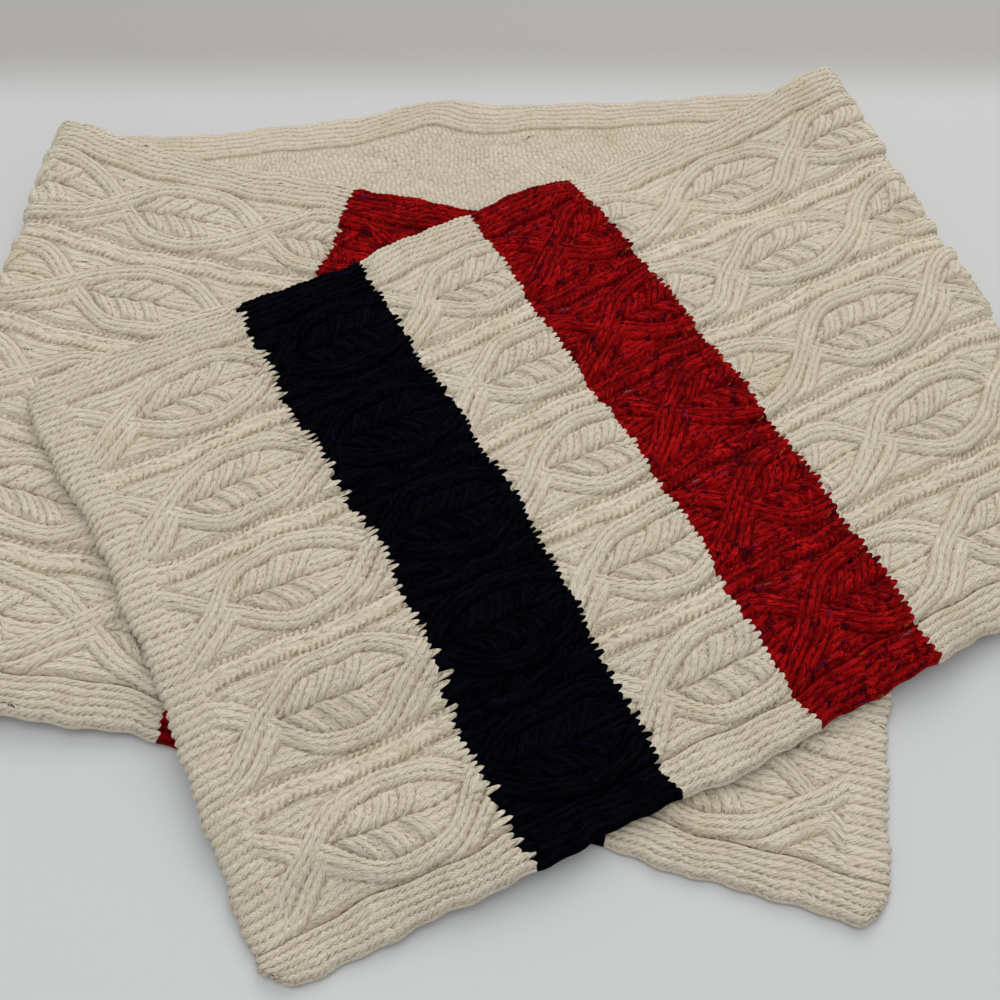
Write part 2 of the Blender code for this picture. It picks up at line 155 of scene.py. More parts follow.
ROW = 0.00315  # one knitted row, along the strip
COLUMN_SLIP = 0.5  # rows that neighbouring columns lie off each other at most
SLIP_TURN = 2.4  # how that slip changes from column to column, in radians
COLUMN_FALL = 0.32  # how much lower a column of stitches is at its sides
STITCH_NOTCH = 0.0008  # how deep the notches between the stitches are
LEG_LEAN = 1.35  # rows that a stitch's leg runs back from its point to its column's side
LEG_LOW = 0.35  # a leg's height at its ends, and how much lower it is at its column's sides
LEG_FALL = 0.35
LUMP = 0.00020  # how far the yarn's own lumps stand out
WALE = 0.0034  # one stitch, across it
RIB_WALE = 0.0043  # one stitch of the hems
NEAR_WALE = 0.0034  # one stitch of the near band
FAR_WALE = (WIDTH - FAR_BAND) / 6
HEM_RIB = 0.016
HEM_BLEND = 0.006

STRAND_SPREAD = 0.0198  # a strand's middle line at its furthest from the panel's
STRAND_HALF = 0.0049
STRAND_WALES = 3
EDGE_STITCH = 0.09  # how much a strand's or lobe's half width varies from stitch to stitch
STRAND_BEND = 4.0  # how sharply a strand turns level
OVER_RUN = 0.0230
UNDER_RUN = 0.0215
UNDER_SHIFT = 0.0035
UNDER_SINKS = (0.24, 0.011)  # how far the lower strand sinks at a crossing, and how far along it
FOLLOW_STEP = 0.0005  # the step and the rounds that find a point's foot on a strand's middle line
FOLLOW_ROUNDS = 3
SIDE_STRIP_OFF = 0.0084  # the short strip beside the upper strand: its middle, its half width, its ends
SIDE_STRIP_HALF = 0.0036
SIDE_STRIP_HEAD = 0.0015
SIDE_STRIP_TAIL = 0.012

LOBE_SIZES = (0.88, 1.0, 0.92)
LOBE_FIRST = 0.0170
LOBE_PITCH = 0.0124
LOBE_ANGLE = math.radians(56.0)
LOBE_HALF = 0.0049
LOBE_HEAD = 0.0098
LOBE_ROUND = 0.0042
LOBE_WALE = 0.0034
LOBE_BOW = (0.0016, 0.0045)  # how far a lobe bends, and over which length
LOBE_SHIFTS = 0.0009  # how far single lobes are shifted, and how much their reach varies
LOBE_REACHES = 0.0010
LOBE_ROOT = (0.45, 0.0003, 0.0018)  # a lobe's height at the vein, where it starts to rise, and how softly
LOBE_BESIDE = (0.25, 0.001)  # its height beside a strand, and how softly it rises from there
VEIN_HALF = 0.0011  # the line between a heart's halves, and how deep it is between and in its holes
VEIN_DEEP = (0.35, 0.6)
GROOVE = 0.13  # how deep the lines between a strand's or lobe's columns are, as a share of the relief

CHAIN_HALF = 0.0034
CHAIN_ROW = 0.0063
CHAIN_HOLE = 0.0010
BAR_SLANT = 0.45
INSIDE = (0.02, 0.98)  # keeps points of a ditch or chain off its column's borders

# Heights, as shares of the relief.
STRAND_HEIGHT = 1.00
UNDER_HEIGHT = 0.92
STRAND_EDGE = 0.30
LOBE_HEIGHT = 1.00
INSIDE_HEIGHT = 0.48
OUTSIDE_HEIGHT = 0.58
GROUND_EDGE = 0.40  # the ground's share beside a strand, and how softly it rises from there
GROUND_RUN = 0.0017
SIDE_STRIP_HEIGHT = 0.84
CHAIN_EDGE = 0.16
CHAIN_HEIGHT = 0.52
BAND_HEIGHT = 0.66
BAR_HEIGHT = 0.44
BAR_LOW = 0.42  # a ditch's share between its bars

# How strong the painted shading in hollows is, as shares.
RIB_SHADE = 0.22  # ribbing all over, where its own hollows don't show
PANEL_SHADE = 0.50  # the panels' own hollows
VEIN_SHADE = 0.60
GAP_SHADE = 0.95  # between a ditch's bars
BACK_SHADE = (0.34, 0.6)  # the wrong side all over, and its hollows

PURL_ROW = 0.0027
PURL_WALE = 0.0056
PURL_RISE = 0.0011
PURL_SUNK = (0.55, 0.009)  # the purl's share behind a strand's middle, and how softly it rises
PURL_LUMP = 0.12
BACK_RIB = 1.20  # the wrong side's bands, as a share of the purl's rise
BACK_RIB_STITCH = 0.35  # and how far their stitches look like purl

# --- how finely it is cut
FINE_ROW = ROW / 4
MEDIUM_ROW = ROW / 3
FINE_COLUMN = WIDTH / 388
BACK_CELL = 0.00105
PLAIN_CELL = 0.0048
RIM_RINGS = (
    # how far the rim bulges out, share of the wall's thickness
    (0.0009, 0.8), (0.0013, 0.52), (0.0008, 0.24),
)
TINY = 1e-6


# --- small helpers
def ease(x):
    """0 to 1, level at both ends."""
    x = np.clip(x, 0, 1)
    return x * x * (3.0 - 2 * x)


def rising(low, x):
    """From a low share at 0 to 1 at 1, level at both ends."""
    return low + (1 - low) * ease(x)


def ends(distance, length, reach):
    """1 at the start and at the end of a length, each eased to 0 within a reach."""
    return ease(1 - distance / reach), ease(1 - (length - distance) / reach)


def bell(x):
    """1 at 0, fading out to both sides."""
    return np.exp(-(x**2))


def dome(x):
    """1 at 0, round down to 0 at 1 and beyond."""
    return np.sqrt(np.clip(1 - x, 0, 1))


def wave(turns):
    """A wave from 1 to -1 and back in each turn."""
    return np.cos(2 * math.pi * turns)


def pulse(turns):
    """A wave from 1 to 0 and back in each turn."""
    return 0.5 + 0.5 * wave(turns)


def ripple(a, b, rate, bend, bend_rate):
    """A wave along a, bent to and fro along b."""
    return np.sin(rate * a + bend * np.sin(bend_rate * b))


def read_table(rows, at, column):
    """A table's column, eased from row to row."""
    table = np.array(rows)
    keys = table[:, 0]
    values = table[:, column]
    at = np.clip(at, keys[0], keys[-1])
    k = np.clip(np.searchsorted(keys, at, side="right") - 1, 0, len(keys) - 2)
    share = ease((at - keys[k]) / (keys[k + 1] - keys[k]))
    return values[k] + share * (values[k + 1] - values[k])


def soft_max(a, b):
    """The higher of two levels, with a fillet where they meet above the floor."""
    higher = np.maximum(a, b)
    apart = np.abs(a - b)
    fillet = 0.5 * (np.sqrt(apart**2 + SOFT_JOIN**2) - apart)
    return higher + fillet * ease(higher / SOFT_JOIN_FROM)


# --- the layout, as in the solids
ALONG = np.array((math.cos(OVER_ANGLE), math.sin(OVER_ANGLE)))
ACROSS = np.array((-math.sin(OVER_ANGLE), math.cos(OVER_ANGLE)))


def over_plan(s, t):
    return np.array(OVER_CORNER) + s[..., None] * ALONG + t[..., None] * ACROSS


class Fold:
    """A straight fold: its line, and the direction that points out of the folded cloth."""

    def __init__(self, near, far, outward_sign):
        self.near = near
        self.along = (far - near) / np.linalg.norm(far - near)
        self.out = outward_sign * np.array((self.along[1], -self.along[0]))

    def beyond(self, plan):
        return (plan - self.near) @ self.out

    def along_line(self, plan):
        return (plan - self.near) @ self.along

    def at(self, along, beyond):
        return self.near + along[..., None] * self.along + beyond[..., None] * self.out

    def mirrored(self, plan):
        return plan - 2 * self.beyond(plan)[..., None] * self.out


def fold_ends(stations):
    return over_plan(np.array(stations), np.array((0.0, WIDTH)))


RIGHT = Fold(*fold_ends(FOLD_RIGHT), 1.0)
LEFT = Fold(*RIGHT.mirrored(fold_ends(FOLD_LEFT)), -1.0)
UNDER_HEM = LEFT.mirrored(RIGHT.mirrored(fold_ends((LENGTH, LENGTH))))
RIGHT_FAR = fold_ends(FOLD_RIGHT)[1]
LEFT_FAR = RIGHT.mirrored(fold_ends(FOLD_LEFT))[1]
BACK_OUTLINE = [RIGHT.near, RIGHT_FAR, LEFT_FAR, LEFT.near]
UNDER_OUTLINE = [LEFT.near, LEFT_FAR, UNDER_HEM[1], UNDER_HEM[0]]


def outside(plan, corners):
    """Distance outside a convex outline, negative inside it."""
    middle = np.mean(corners, axis=0)
    distance = np.full(plan.shape[:-1], -np.inf)
    for a, b in zip(corners, corners[1:] + corners[:1]):
        edge = (b - a) / np.linalg.norm(b - a)
        normal = np.array((edge[1], -edge[0]))
        if (middle - a) @ normal > 0:
            normal = -normal
        distance = np.maximum(distance, (plan - a) @ normal)
    return distance


def resting_on(plan, outline):
    return 1 - ease((outside(plan, outline) - STEP_MARGIN) / STEP_RUN)


def fold_lift(plan, fold, rows, reach):
    lift = read_table(rows, fold.along_line(plan), 1)
    return lift * bell(np.minimum(fold.beyond(plan), 0.0) / reach)


# Soft ridges that the cloth keeps from being folded: each one's middle, the way it runs, its half length,
# its half width and its height.
UNDER_SWELLS = (
    # x, y, degrees, half length, half width, height
    (-0.196, 0.01, 100.0, 0.07, 0.022, 0.0014),
    (-0.238, -0.072, 20.0, 0.06, 0.016, 0.0012),
    (-0.15, 0.12, 150.0, 0.05, 0.018, 0.0011),
    (0.16, -0.17, 70.0, 0.055, 0.017, 0.0016),
)
OVER_SWELLS = (
    (-0.105, -0.17, 55.0, 0.06, 0.02, 0.0012),
    (-0.066, -0.201, 27.0, 0.055, 0.013, 0.0032),
    (-0.093, -0.147, 27.0, 0.055, 0.013, 0.0026),
    (-0.06, -0.215, 115.0, 0.045, 0.014, 0.0013),
    (-0.15, -0.055, 32.0, 0.08, 0.017, 0.0013),
    (-0.02, -0.09, 24.0, 0.09, 0.015, 0.0011),
    (0.075, 0.03, 118.0, 0.07, 0.022, 0.0014),
    (0.155, -0.045, 20.0, 0.06, 0.014, 0.0012),
    (0.17, 0.11, 95.0, 0.075, 0.018, 0.0013),
    (0.172, 0.132, -61.0, 0.036, 0.009, 0.0018),
    (0.207, 0.16, -61.0, 0.032, 0.008, 0.0015),
)


def swell(plan, ridges):
    """How far soft ridges raise the cloth."""
    raised = np.zeros(plan.shape[:-1])
    for x, y, degrees, half_length, half_width, height in ridges:
        along = np.array((math.cos(math.radians(degrees)), math.sin(math.radians(degrees))))
        off = plan - np.array((x, y))
        run = off @ along / half_length
        aside = off @ np.array((-along[1], along[0])) / half_width
        raised = raised + height * np.exp(-(run**2) - aside**2)
    return raised


def under_level(plan):
    level = LAYER * resting_on(plan, BACK_OUTLINE) + swell(plan, UNDER_SWELLS)
    return level + fold_lift(plan, LEFT, LEFT_LIFT, LEFT_LIFT_REACH)


def over_level(plan):
    on_back = resting_on(plan, BACK_OUTLINE)
    clearance = STEP_CLEAR * 4.0 * on_back * (1 - on_back)
    on_under = (under_level(plan) + LAYER + clearance) * resting_on(plan, UNDER_OUTLINE)
    level = soft_max(LAYER * on_back, on_under) + swell(plan, OVER_SWELLS)
    return level + fold_lift(plan, RIGHT, RIGHT_LIFT, RIGHT_LIFT_REACH)


def back_raise(s, t):
    return WAVE_HEIGHT * bell((s - WAVE_AT) / WAVE_LENGTH) * ease((t - WIDTH + WAVE_DEPTH) / WAVE_DEPTH)


def bend_radius(fold, along, level):
    radius = np.full(along.shape, LAYER / 2)
    for _ in range(BEND_ROUNDS):
        top = level(fold.at(along, -math.pi * radius / 2))
        radius = (top - FULL) / 2 + FULL / 2
    return radius


def edge_wander(along, seed):
    """How far an edge wanders off its line between one stitch and the next."""
    return sum(rise * np.sin(rate * along + share * seed) for rise, rate, share in EDGE_WANDER)


def in_corner(distance):
    """1 at a corner, 0 from its rounding on."""
    return np.clip(1 - distance / CORNER_ROUND, 0, 1) ** 2


def place(s, t, depth):
    """The place of points of the wall."""
    near_edge, far_edge = ends(t, WIDTH, EDGE_REACH)
    over_hem, under_hem = ends(s, LENGTH, HEM_REACH)
    near_corner, far_corner = in_corner(t), in_corner(WIDTH - t)
    over_corner, under_corner = in_corner(s), in_corner(LENGTH - s)
    drawn_s = CORNER_DRAWN * (near_corner + far_corner) * (over_corner - under_corner)
    drawn_t = CORNER_DRAWN * (near_corner - far_corner) * (over_corner + under_corner)
    drawn_s = drawn_s + edge_wander(t, 1.0) * over_hem + edge_wander(t, 2.0) * under_hem
    drawn_s = drawn_s + SCALLOP * wave(t / RIB_WALE) * (over_hem - under_hem)
    drawn_t = drawn_t + edge_wander(s, 3.0) * near_edge + edge_wander(s, 4.0) * far_edge
    drawn_t = drawn_t + SCALLOP_SHARE * SCALLOP * wave(s / ROW) * (near_edge - far_edge)
    edge = t / WIDTH
    near_shift, far_shift, near, middle, far = (read_table(DRIFT, s, column) for column in range(1, 6))
    shift = near_shift * (1 - edge) + far_shift * edge
    lead = near * (1 - edge) * (1 - 2 * edge) + 4 * middle * edge * (1 - edge) + far * edge * (2 * edge - 1)
    lead = lead + read_table(HEM_COURSE, t, 1) * ease(1 - s / HEM_COURSE_REACH)
    flat = over_plan(s + lead + drawn_s, t + shift + drawn_t)

    along = RIGHT.along_line(flat)
    beyond = RIGHT.beyond(flat)
    radius = bend_radius(RIGHT, along, over_level)
    turn_r = math.pi * np.clip(0.5 + beyond / (math.pi * radius), 0, 1)

    folded = RIGHT.mirrored(flat)
    along_l = LEFT.along_line(folded)
    beyond_l = LEFT.beyond(folded)
    radius_l = bend_radius(LEFT, along_l, under_level)
    turn_l = math.pi * np.clip(0.5 - beyond_l / (math.pi * radius_l), 0, 1)

    def at_height(plan, height):
        return np.concatenate((plan, height[..., None]), axis=-1)

    def on_bend(fold, along, radius, turn):
        inner = radius - FULL / 2
        reach = inner + depth
        plan = fold.at(along, -math.pi * radius / 2 + reach * np.sin(turn))
        return at_height(plan, FULL + inner + reach * np.cos(turn))

    def joined(turn, upper, bend, lower):
        turn = turn[..., None]
        return np.where(turn <= 0, upper, np.where(turn >= math.pi, lower, bend))

    unfolded = LEFT.mirrored(folded)
    over = at_height(flat, over_level(flat) + depth)
    back = at_height(folded, FULL - depth + back_raise(s, t))
    under = at_height(unfolded, under_level(unfolded) + depth)
    right_part = joined(turn_r, over, on_bend(RIGHT, along, radius, turn_r), back)
    left_part = joined(turn_l, under, on_bend(LEFT, along_l, radius_l, turn_l), back)
    return np.where((s < LENGTH / 2)[..., None], right_part, left_part)


# --- the right side's knitting
def unevenness(s, t):
    """Shifts of the knitting along s and t, as a hand knits it."""
    along = 0.0013 * np.sin(61.0 * s + 23.0 * t) + 0.0010 * np.sin(170.0 * t + 37.0 * s + 1.3)
    across = 0.0009 * ripple(s, t, 83.0, 2.1, 19.0) + 0.0005 * np.sin(211.0 * s + 40.0 * t)
    return along, across


def ramp(x, run):
    """From -1 to 1 through 0, level at both ends."""
    z = x / run
    return z / (1 + np.abs(z) ** STRAND_BEND) ** (1.0 / STRAND_BEND)


def over_line(x):
    return STRAND_SPREAD * ramp(x, OVER_RUN)


def under_line(x):
    return -STRAND_SPREAD * ramp(x - UNDER_SHIFT, UNDER_RUN)


def follow(line, x, y):
    """How far points lie to the far side of a strand's middle line, and where along it."""
    foot = x
    for _ in range(FOLLOW_ROUNDS):
        slope = (line(foot + FOLLOW_STEP) - line(foot - FOLLOW_STEP)) / (2 * FOLLOW_STEP)
        foot = foot + ((x - foot) + (y - line(foot)) * slope) / (1 + slope**2)
    return np.hypot(x - foot, y - line(foot)) * np.sign(y - line(foot)), foot


def scalloped(half, run):
    """A half width that swells and shrinks from one stitch to the next."""
    return half * (1 + EDGE_STITCH * wave(run / ROW))


def bank(off, half, edge, crest, fullness=2.3):
    """A rounded ridge between two edges, 0 outside them."""
    level = edge + (crest - edge) * dome(np.abs(off / half) ** fullness)
    return np.where(np.abs(off) < half, level, 0.0)


def off_column(wale):
    """How far points lie off the middle of their column of stitches, 1 at its border."""
    return np.abs(2 * (wale % 1.0) - 1.0)


def groove(wale):
    """The dip between neighbouring columns of stitches, 1 along their border."""
    return off_column(wale) ** 3


def column(wale):
    """A column of stitches, rounded across."""
    return 1 - COLUMN_FALL * groove(wale)


class Surface:
    """The knitting's height as a share of the relief, and the stitches (wale, row) of what lies on top."""

    def __init__(self, shape):
        self.height = np.zeros(shape)
        self.top = np.zeros(shape, int)
        self.stitches = []

    def lay(self, height, wale, row, where=True):
        on_top = (height > self.height) & where
        self.height = np.where(on_top, height, self.height)
        self.top = np.where(on_top, len(self.stitches), self.top)
        self.stitches.append((wale + 0 * self.height, row + 0 * self.height))

    def shown(self):
        """The wale and row of what lies on top."""
        wale = np.choose(self.top, [pair[0] for pair in self.stitches])
        return wale, np.choose(self.top, [pair[1] for pair in self.stitches])


def leg_shape(wale, row):
    """How high the points of a stitch stand, 1 on the yarn's top and 0 in the hole beside it."""
    side = off_column(wale)
    slip = COLUMN_SLIP * (0.5 + 0.5 * np.sin(SLIP_TURN * np.floor(wale)))
    ahead = (row + slip + LEG_LEAN * side) % 1.0
    return (LEG_LOW + (1 - LEG_LOW) * np.sin(math.pi * ahead)) * (1 - LEG_FALL * side**2)


def varied(panel, crossings, seed):
    """A number from -1 to 1 that differs from oval to oval, as no two are knitted quite alike."""
    return np.sin(37.0 * np.floor(crossings) + 17.0 * panel + 5.3 * seed)


def panel_of(t):
    return np.clip(np.round((t - PANEL_FIRST) / PANEL_PITCH), 0, PANELS - 1)


def crossings_at(s):
    """How many crossings of strands lie before a station."""
    return np.interp(s, *np.array(CROSSINGS).T)


def band_at(t):
    """Which points are in the edge bands, how far each lies from its band's ditch, and its wale there."""
    is_near = t < NEAR_BAND
    from_ditch = np.where(is_near, NEAR_BAND - t, t - FAR_BAND)
    wale = np.where(is_near, (t - NEAR_BAND) / NEAR_WALE, (t - FAR_BAND) / FAR_WALE)
    return is_near | (t > FAR_BAND), from_ditch, wale


def knit_hearts(surface, s, y, crossings, panel, is_panel):
    """The ground beside the strands, and a heart of slanting lobes in each oval."""
    x = (crossings - np.round(crossings)) * REPEAT
    past = (crossings % 1.0) * REPEAT
    row = s / ROW
    over_off, over_foot = follow(over_line, x, y)
    under_off, _ = follow(under_line, x, y)
    from_strand = np.minimum(np.abs(over_off), np.abs(under_off)) - STRAND_HALF

    strip_off = over_off + SIDE_STRIP_OFF
    beside_strip = (x < SIDE_STRIP_TAIL) & (y < 0) & (over_foot < SIDE_STRIP_HEAD + SIDE_STRIP_HALF)
    from_strip = np.where(beside_strip, np.abs(strip_off) - SIDE_STRIP_HALF, 1.0)

    highest = np.maximum(over_line(x), under_line(x))
    lowest = np.minimum(over_line(x), under_line(x))
    is_outside = (y > highest) | (y < lowest)
    off_middle = np.abs(y)
    outer = OUTSIDE_HEIGHT * rising(GROUND_EDGE, np.minimum(from_strand, from_strip) / GROUND_RUN)
    outer = outer * ease((DITCH_AT - PANEL_BORDER[0] - off_middle) / PANEL_BORDER[1])
    surface.lay(outer, y / WALE + 0.5, row, is_panel & is_outside)

    is_inside = is_panel & ~is_outside
    inner = INSIDE_HEIGHT * rising(GROUND_EDGE, from_strand / GROUND_RUN)
    holes = pulse(past / (LOBE_PITCH / 2))
    vein = 1 - (VEIN_DEEP[0] + VEIN_DEEP[1] * holes) * bell(y / VEIN_HALF)
    surface.lay(inner * vein, y / WALE, row, is_inside)
    for lobe, size in enumerate(LOBE_SIZES):
        shifted = LOBE_SHIFTS * varied(panel, crossings, lobe + (y < 0))
        bend = LOBE_BOW[0] * np.sin(off_middle / LOBE_BOW[1]) + shifted
        station = past - off_middle / math.tan(LOBE_ANGLE) - bend - LOBE_FIRST - lobe * LOBE_PITCH
        off = station * math.sin(LOBE_ANGLE)
        out = station * math.cos(LOBE_ANGLE) + off_middle / math.sin(LOBE_ANGLE)
        reach = LOBE_HEAD + LOBE_REACHES * varied(panel, crossings, 2 * lobe + 3.0 * (y < 0))
        head = np.clip((off_middle - reach) / LOBE_ROUND, 0.0, None)
        wale = np.where(y < 0, -1.0, 1.0) * off / LOBE_WALE + 1.0
        shape = dome(np.abs(off / scalloped(LOBE_HALF, out)) ** 2.2 + head**2.4)
        height = size * shape * (LOBE_HEIGHT - 0.5 * GROOVE * groove(wale))
        height = height * rising(LOBE_ROOT[0], (off_middle - LOBE_ROOT[1]) / LOBE_ROOT[2])
        height = height * rising(LOBE_BESIDE[0], from_strand / LOBE_BESIDE[1])
        surface.lay(height, wale, out / ROW, is_inside)


def knit_strands(surface, s, y, crossings, is_panel):
    """The strands, laid from the even and the odd crossings by turns, so that their stitches run on."""
    middle = STRAND_WALES / 2
    for parity in (0, 1):
        x = (crossings - 2 * np.round((crossings - parity) / 2.0) - parity) * REPEAT
        is_near = is_panel & (np.abs(x) <= REPEAT / 2)
        over_off, over_foot = follow(over_line, x, y)
        under_off, under_foot = follow(under_line, x, y)
        over_run = s + over_foot - x
        under_run = s + under_foot - x
        strip_off = (over_off + SIDE_STRIP_OFF) / SIDE_STRIP_HALF
        head = np.clip((over_foot - SIDE_STRIP_HEAD) / SIDE_STRIP_HALF, 0.0, None)
        strip = SIDE_STRIP_HEIGHT * dome(np.abs(strip_off) ** 2.4 + head**2)
        strip = strip * ease((y + DITCH_AT) / 0.0025) * (x < SIDE_STRIP_TAIL)
        surface.lay(strip, strip_off, over_run / ROW, is_near)

        sunk = UNDER_SINKS[0] * bell(x / UNDER_SINKS[1])
        under = (under_off, under_run, UNDER_HEIGHT - sunk)
        for off, run, crest in (under, (over_off, over_run, STRAND_HEIGHT)):
            strand = bank(off, scalloped(STRAND_HALF, run), STRAND_EDGE, crest)
            wale = off / STRAND_HALF * middle + middle
            strand = strand - GROOVE * groove(wale) * (strand > STRAND_EDGE)
            surface.lay(strand, wale, run / ROW, is_near)


def knit_ditches(surface, s, y, is_chain):
    """The purl ditches with slanting bars, and the chain rib between them. Gives the bars (1 on each, 0
    between them) and their height."""
    row = s / ROW
    from_middle = PANEL_PITCH / 2 - np.abs(y)
    off_chain = np.where(y > 0, -from_middle, from_middle)
    ditch_width = PANEL_PITCH / 2 - DITCH_AT - CHAIN_HALF
    across_ditch = np.clip((from_middle - CHAIN_HALF) / ditch_width, *INSIDE)
    across_ditch = np.where(y > 0, 1 - across_ditch, across_ditch)
    bars = pulse(row - BAR_SLANT * across_ditch)
    bar_height = BAR_HEIGHT * (BAR_LOW + (1 - BAR_LOW) * bars)
    surface.lay(bar_height, 1 - 0.5 * across_ditch, row, is_chain)
    across_chain = np.clip(off_chain / (2 * CHAIN_HALF) + 0.5, *INSIDE)
    leaning = s / CHAIN_ROW + LEG_LEAN * (1 - 2 * np.abs(across_chain - 0.5))
    hole = bell(off_chain / CHAIN_HOLE) * pulse(leaning) ** 2
    leg = 0.92 + 0.08 * np.abs(np.sin(math.pi * leaning)) ** 0.7
    chain = bank(from_middle, CHAIN_HALF, CHAIN_EDGE, CHAIN_HEIGHT) * leg * (1 - 0.45 * hole)
    surface.lay(chain, 0.5 + across_chain, s / CHAIN_ROW, is_chain)
    return bars, bar_height


def knit_right_side(s, t):
    """The right side's depth, its surface, and how much painted shading each point gets in its hollows (0 to
    1).
    """
    along, across = unevenness(s, t)
    surface = Surface(s.shape)
    panel = panel_of(t)
    in_border = np.minimum(s, LENGTH - s)
    s = s + along * ease(in_border / HEM_RIB)
    t = t + across * ease(np.minimum(t, WIDTH - t) / STEADY_EDGE)
    y = t - PANEL_FIRST - panel * PANEL_PITCH
    crossings = crossings_at(s) + PANEL_LAG * np.sin(2.3 * panel + 0.7)
    is_panel = np.abs(y) < DITCH_AT
    is_band, from_ditch, band_wale = band_at(t)
    is_chain = ~is_panel & ~is_band
    row = s / ROW
    knit_hearts(surface, s, y, crossings, panel, is_panel)
    knit_strands(surface, s, y, crossings, is_panel)
    bars, bar_height = knit_ditches(surface, s, y, is_chain)

    # Ribbed bands along the edges, and the ribbed hems.
    band = BAND_HEIGHT * column(band_wale) * ease((from_ditch + 0.0004) / 0.0016)
    surface.lay(band, band_wale, row, is_band)
    hem_wale = np.where(is_band, band_wale, t / RIB_WALE)
    into = ease((in_border - HEM_RIB + HEM_BLEND) / (2 * HEM_BLEND))
    surface.stitches.append((hem_wale, row))
    surface.top = np.where((into < 0.5) & ~is_band, len(surface.stitches) - 1, surface.top)
    surface.height = BAND_HEIGHT * column(hem_wale) * (1 - into) + surface.height * into

    loose = 0.30 * ripple(s, t, 290.0, 3.0, 130.0) + 0.25 * ripple(t, s, 510.0, 2.0, 190.0)
    surface.stitches = [(wale, row + loose) for wale, row in surface.stitches]
    lumps = ripple(s, t, 1571.0, 2.0, 700.0) * ripple(t, s, 1483.0, 2.0, 640.0)
    relief = (FULL - VALLEY) * surface.height + LUMP * lumps
    relief = relief - STITCH_NOTCH * (1 - leg_shape(*surface.shown()))
    depth = np.clip(VALLEY + relief, VALLEY - STITCH_NOTCH, FULL)

    # The hollow share is painted shading: in hollows, over the ribbing, along the heart's vein and between a
    # ditch's bars.
    hollow = hollows(surface.height)
    ribbed = np.where(is_band, 1.0, 1 - into)
    hollow = np.maximum(np.where(is_chain | is_band, hollow, PANEL_SHADE * hollow), RIB_SHADE * ribbed)
    from_vein = np.abs(y) + np.where(is_panel & (surface.height < 0.7), 0, 1)
    vein = bell(from_vein / 0.0008) * (0.55 + 0.45 * wave(s / (2 * ROW)))
    in_ditch = is_chain & (bar_height >= surface.height)
    gap = np.where(in_ditch, (1 - bars) ** 1.5 * (0.45 + 4.0 * loose * loose), 0.0)
    return depth, surface, np.clip(hollow + VEIN_SHADE * vein + GAP_SHADE * gap * into, 0, 1)


def smoothed(values, steps):
    """Values averaged with their neighbours along both ways of the grid."""
    for _ in range(2 * steps):
        padded = np.pad(values, 1, mode="edge")
        values = ((padded[:-2, 1:-1] + padded[2:, 1:-1] + 2 * values) / 4.0).T
    return values


def hollows(height):
    """How far each point lies below what is around it, and how far below the tops of the relief."""
    around = smoothed(height, 14)
    sunk = np.clip((around - height) / 0.40, 0, 1)
    low = np.clip(1 - height / 0.28, 0, 1)
    return np.clip(0.65 * sunk + 0.65 * low, 0, 1)


# --- the wrong side's knitting
def knit_wrong_side(s, t):
    """How far the wrong side stands out of the plain inner face, its surface, its painted shading (all over
    and in hollows), and how far its stitches are purl."""
    along, across = unevenness(s + 0.3, t)
    s = s + along
    t = t + across * ease(np.minimum(t, WIDTH - t) / STEADY_EDGE)
    near_wave = ease((WIDTH - t) / BACK_BAND_REACH)
    t = np.where(t > FAR_BAND - BACK_BAND_REACH, t - read_table(BACK_BAND, s, 1) * near_wave, t)
    is_band, from_ditch, band_wale = band_at(t)
    band = BACK_RIB * column(band_wale) * ease(from_ditch / 0.0018)
    surface = Surface(s.shape)
    y = t - PANEL_FIRST - panel_of(t) * PANEL_PITCH
    crossings = crossings_at(s)
    x = (crossings - np.round(crossings)) * REPEAT
    from_line = np.minimum(np.abs(y - over_line(x)), np.abs(y - under_line(x)))
    lumps = PURL_LUMP * ripple(s, t, 900.0, 2.0, 500.0) * ripple(t, s, 1000.0, 2.0, 450.0)
    purl = rising(PURL_SUNK[0], from_line / PURL_SUNK[1]) + lumps
    purl = purl * (1 - 0.6 * bell(from_ditch / 0.0025))
    surface.lay(purl, t / PURL_WALE, s / PURL_ROW, ~is_band)
    surface.lay(np.maximum(band, 0.01), band_wale, s / ROW, is_band)
    hollow = np.clip((smoothed(surface.height, 10) - surface.height) / 0.45, 0, 1)
    is_purl = np.where(is_band, BACK_RIB_STITCH, 1.0)
    return PURL_RISE * surface.height, surface, BACK_SHADE[0] + BACK_SHADE[1] * hollow, is_purl


# --- meshes
def edge_rounding(s, t):
    """0 at the strip's edges and hems, rising to 1 within a rounded border."""
    from_edge = np.minimum(np.minimum(t, WIDTH - t), np.minimum(s, LENGTH - s))
    return dome((1 - np.clip(from_edge / EDGE_ROUND, 0, 1)) ** 2)


def stations(*runs):
    """Stations from runs of (start, end, cell): each run is cut evenly into cells of about that size."""
    kept = [runs[0][0]]
    for start, end, cell in runs:
        count = max(1, round((end - start) / cell))
        kept += list(np.linspace(start, end, count + 1)[1:])
    return np.array(kept)


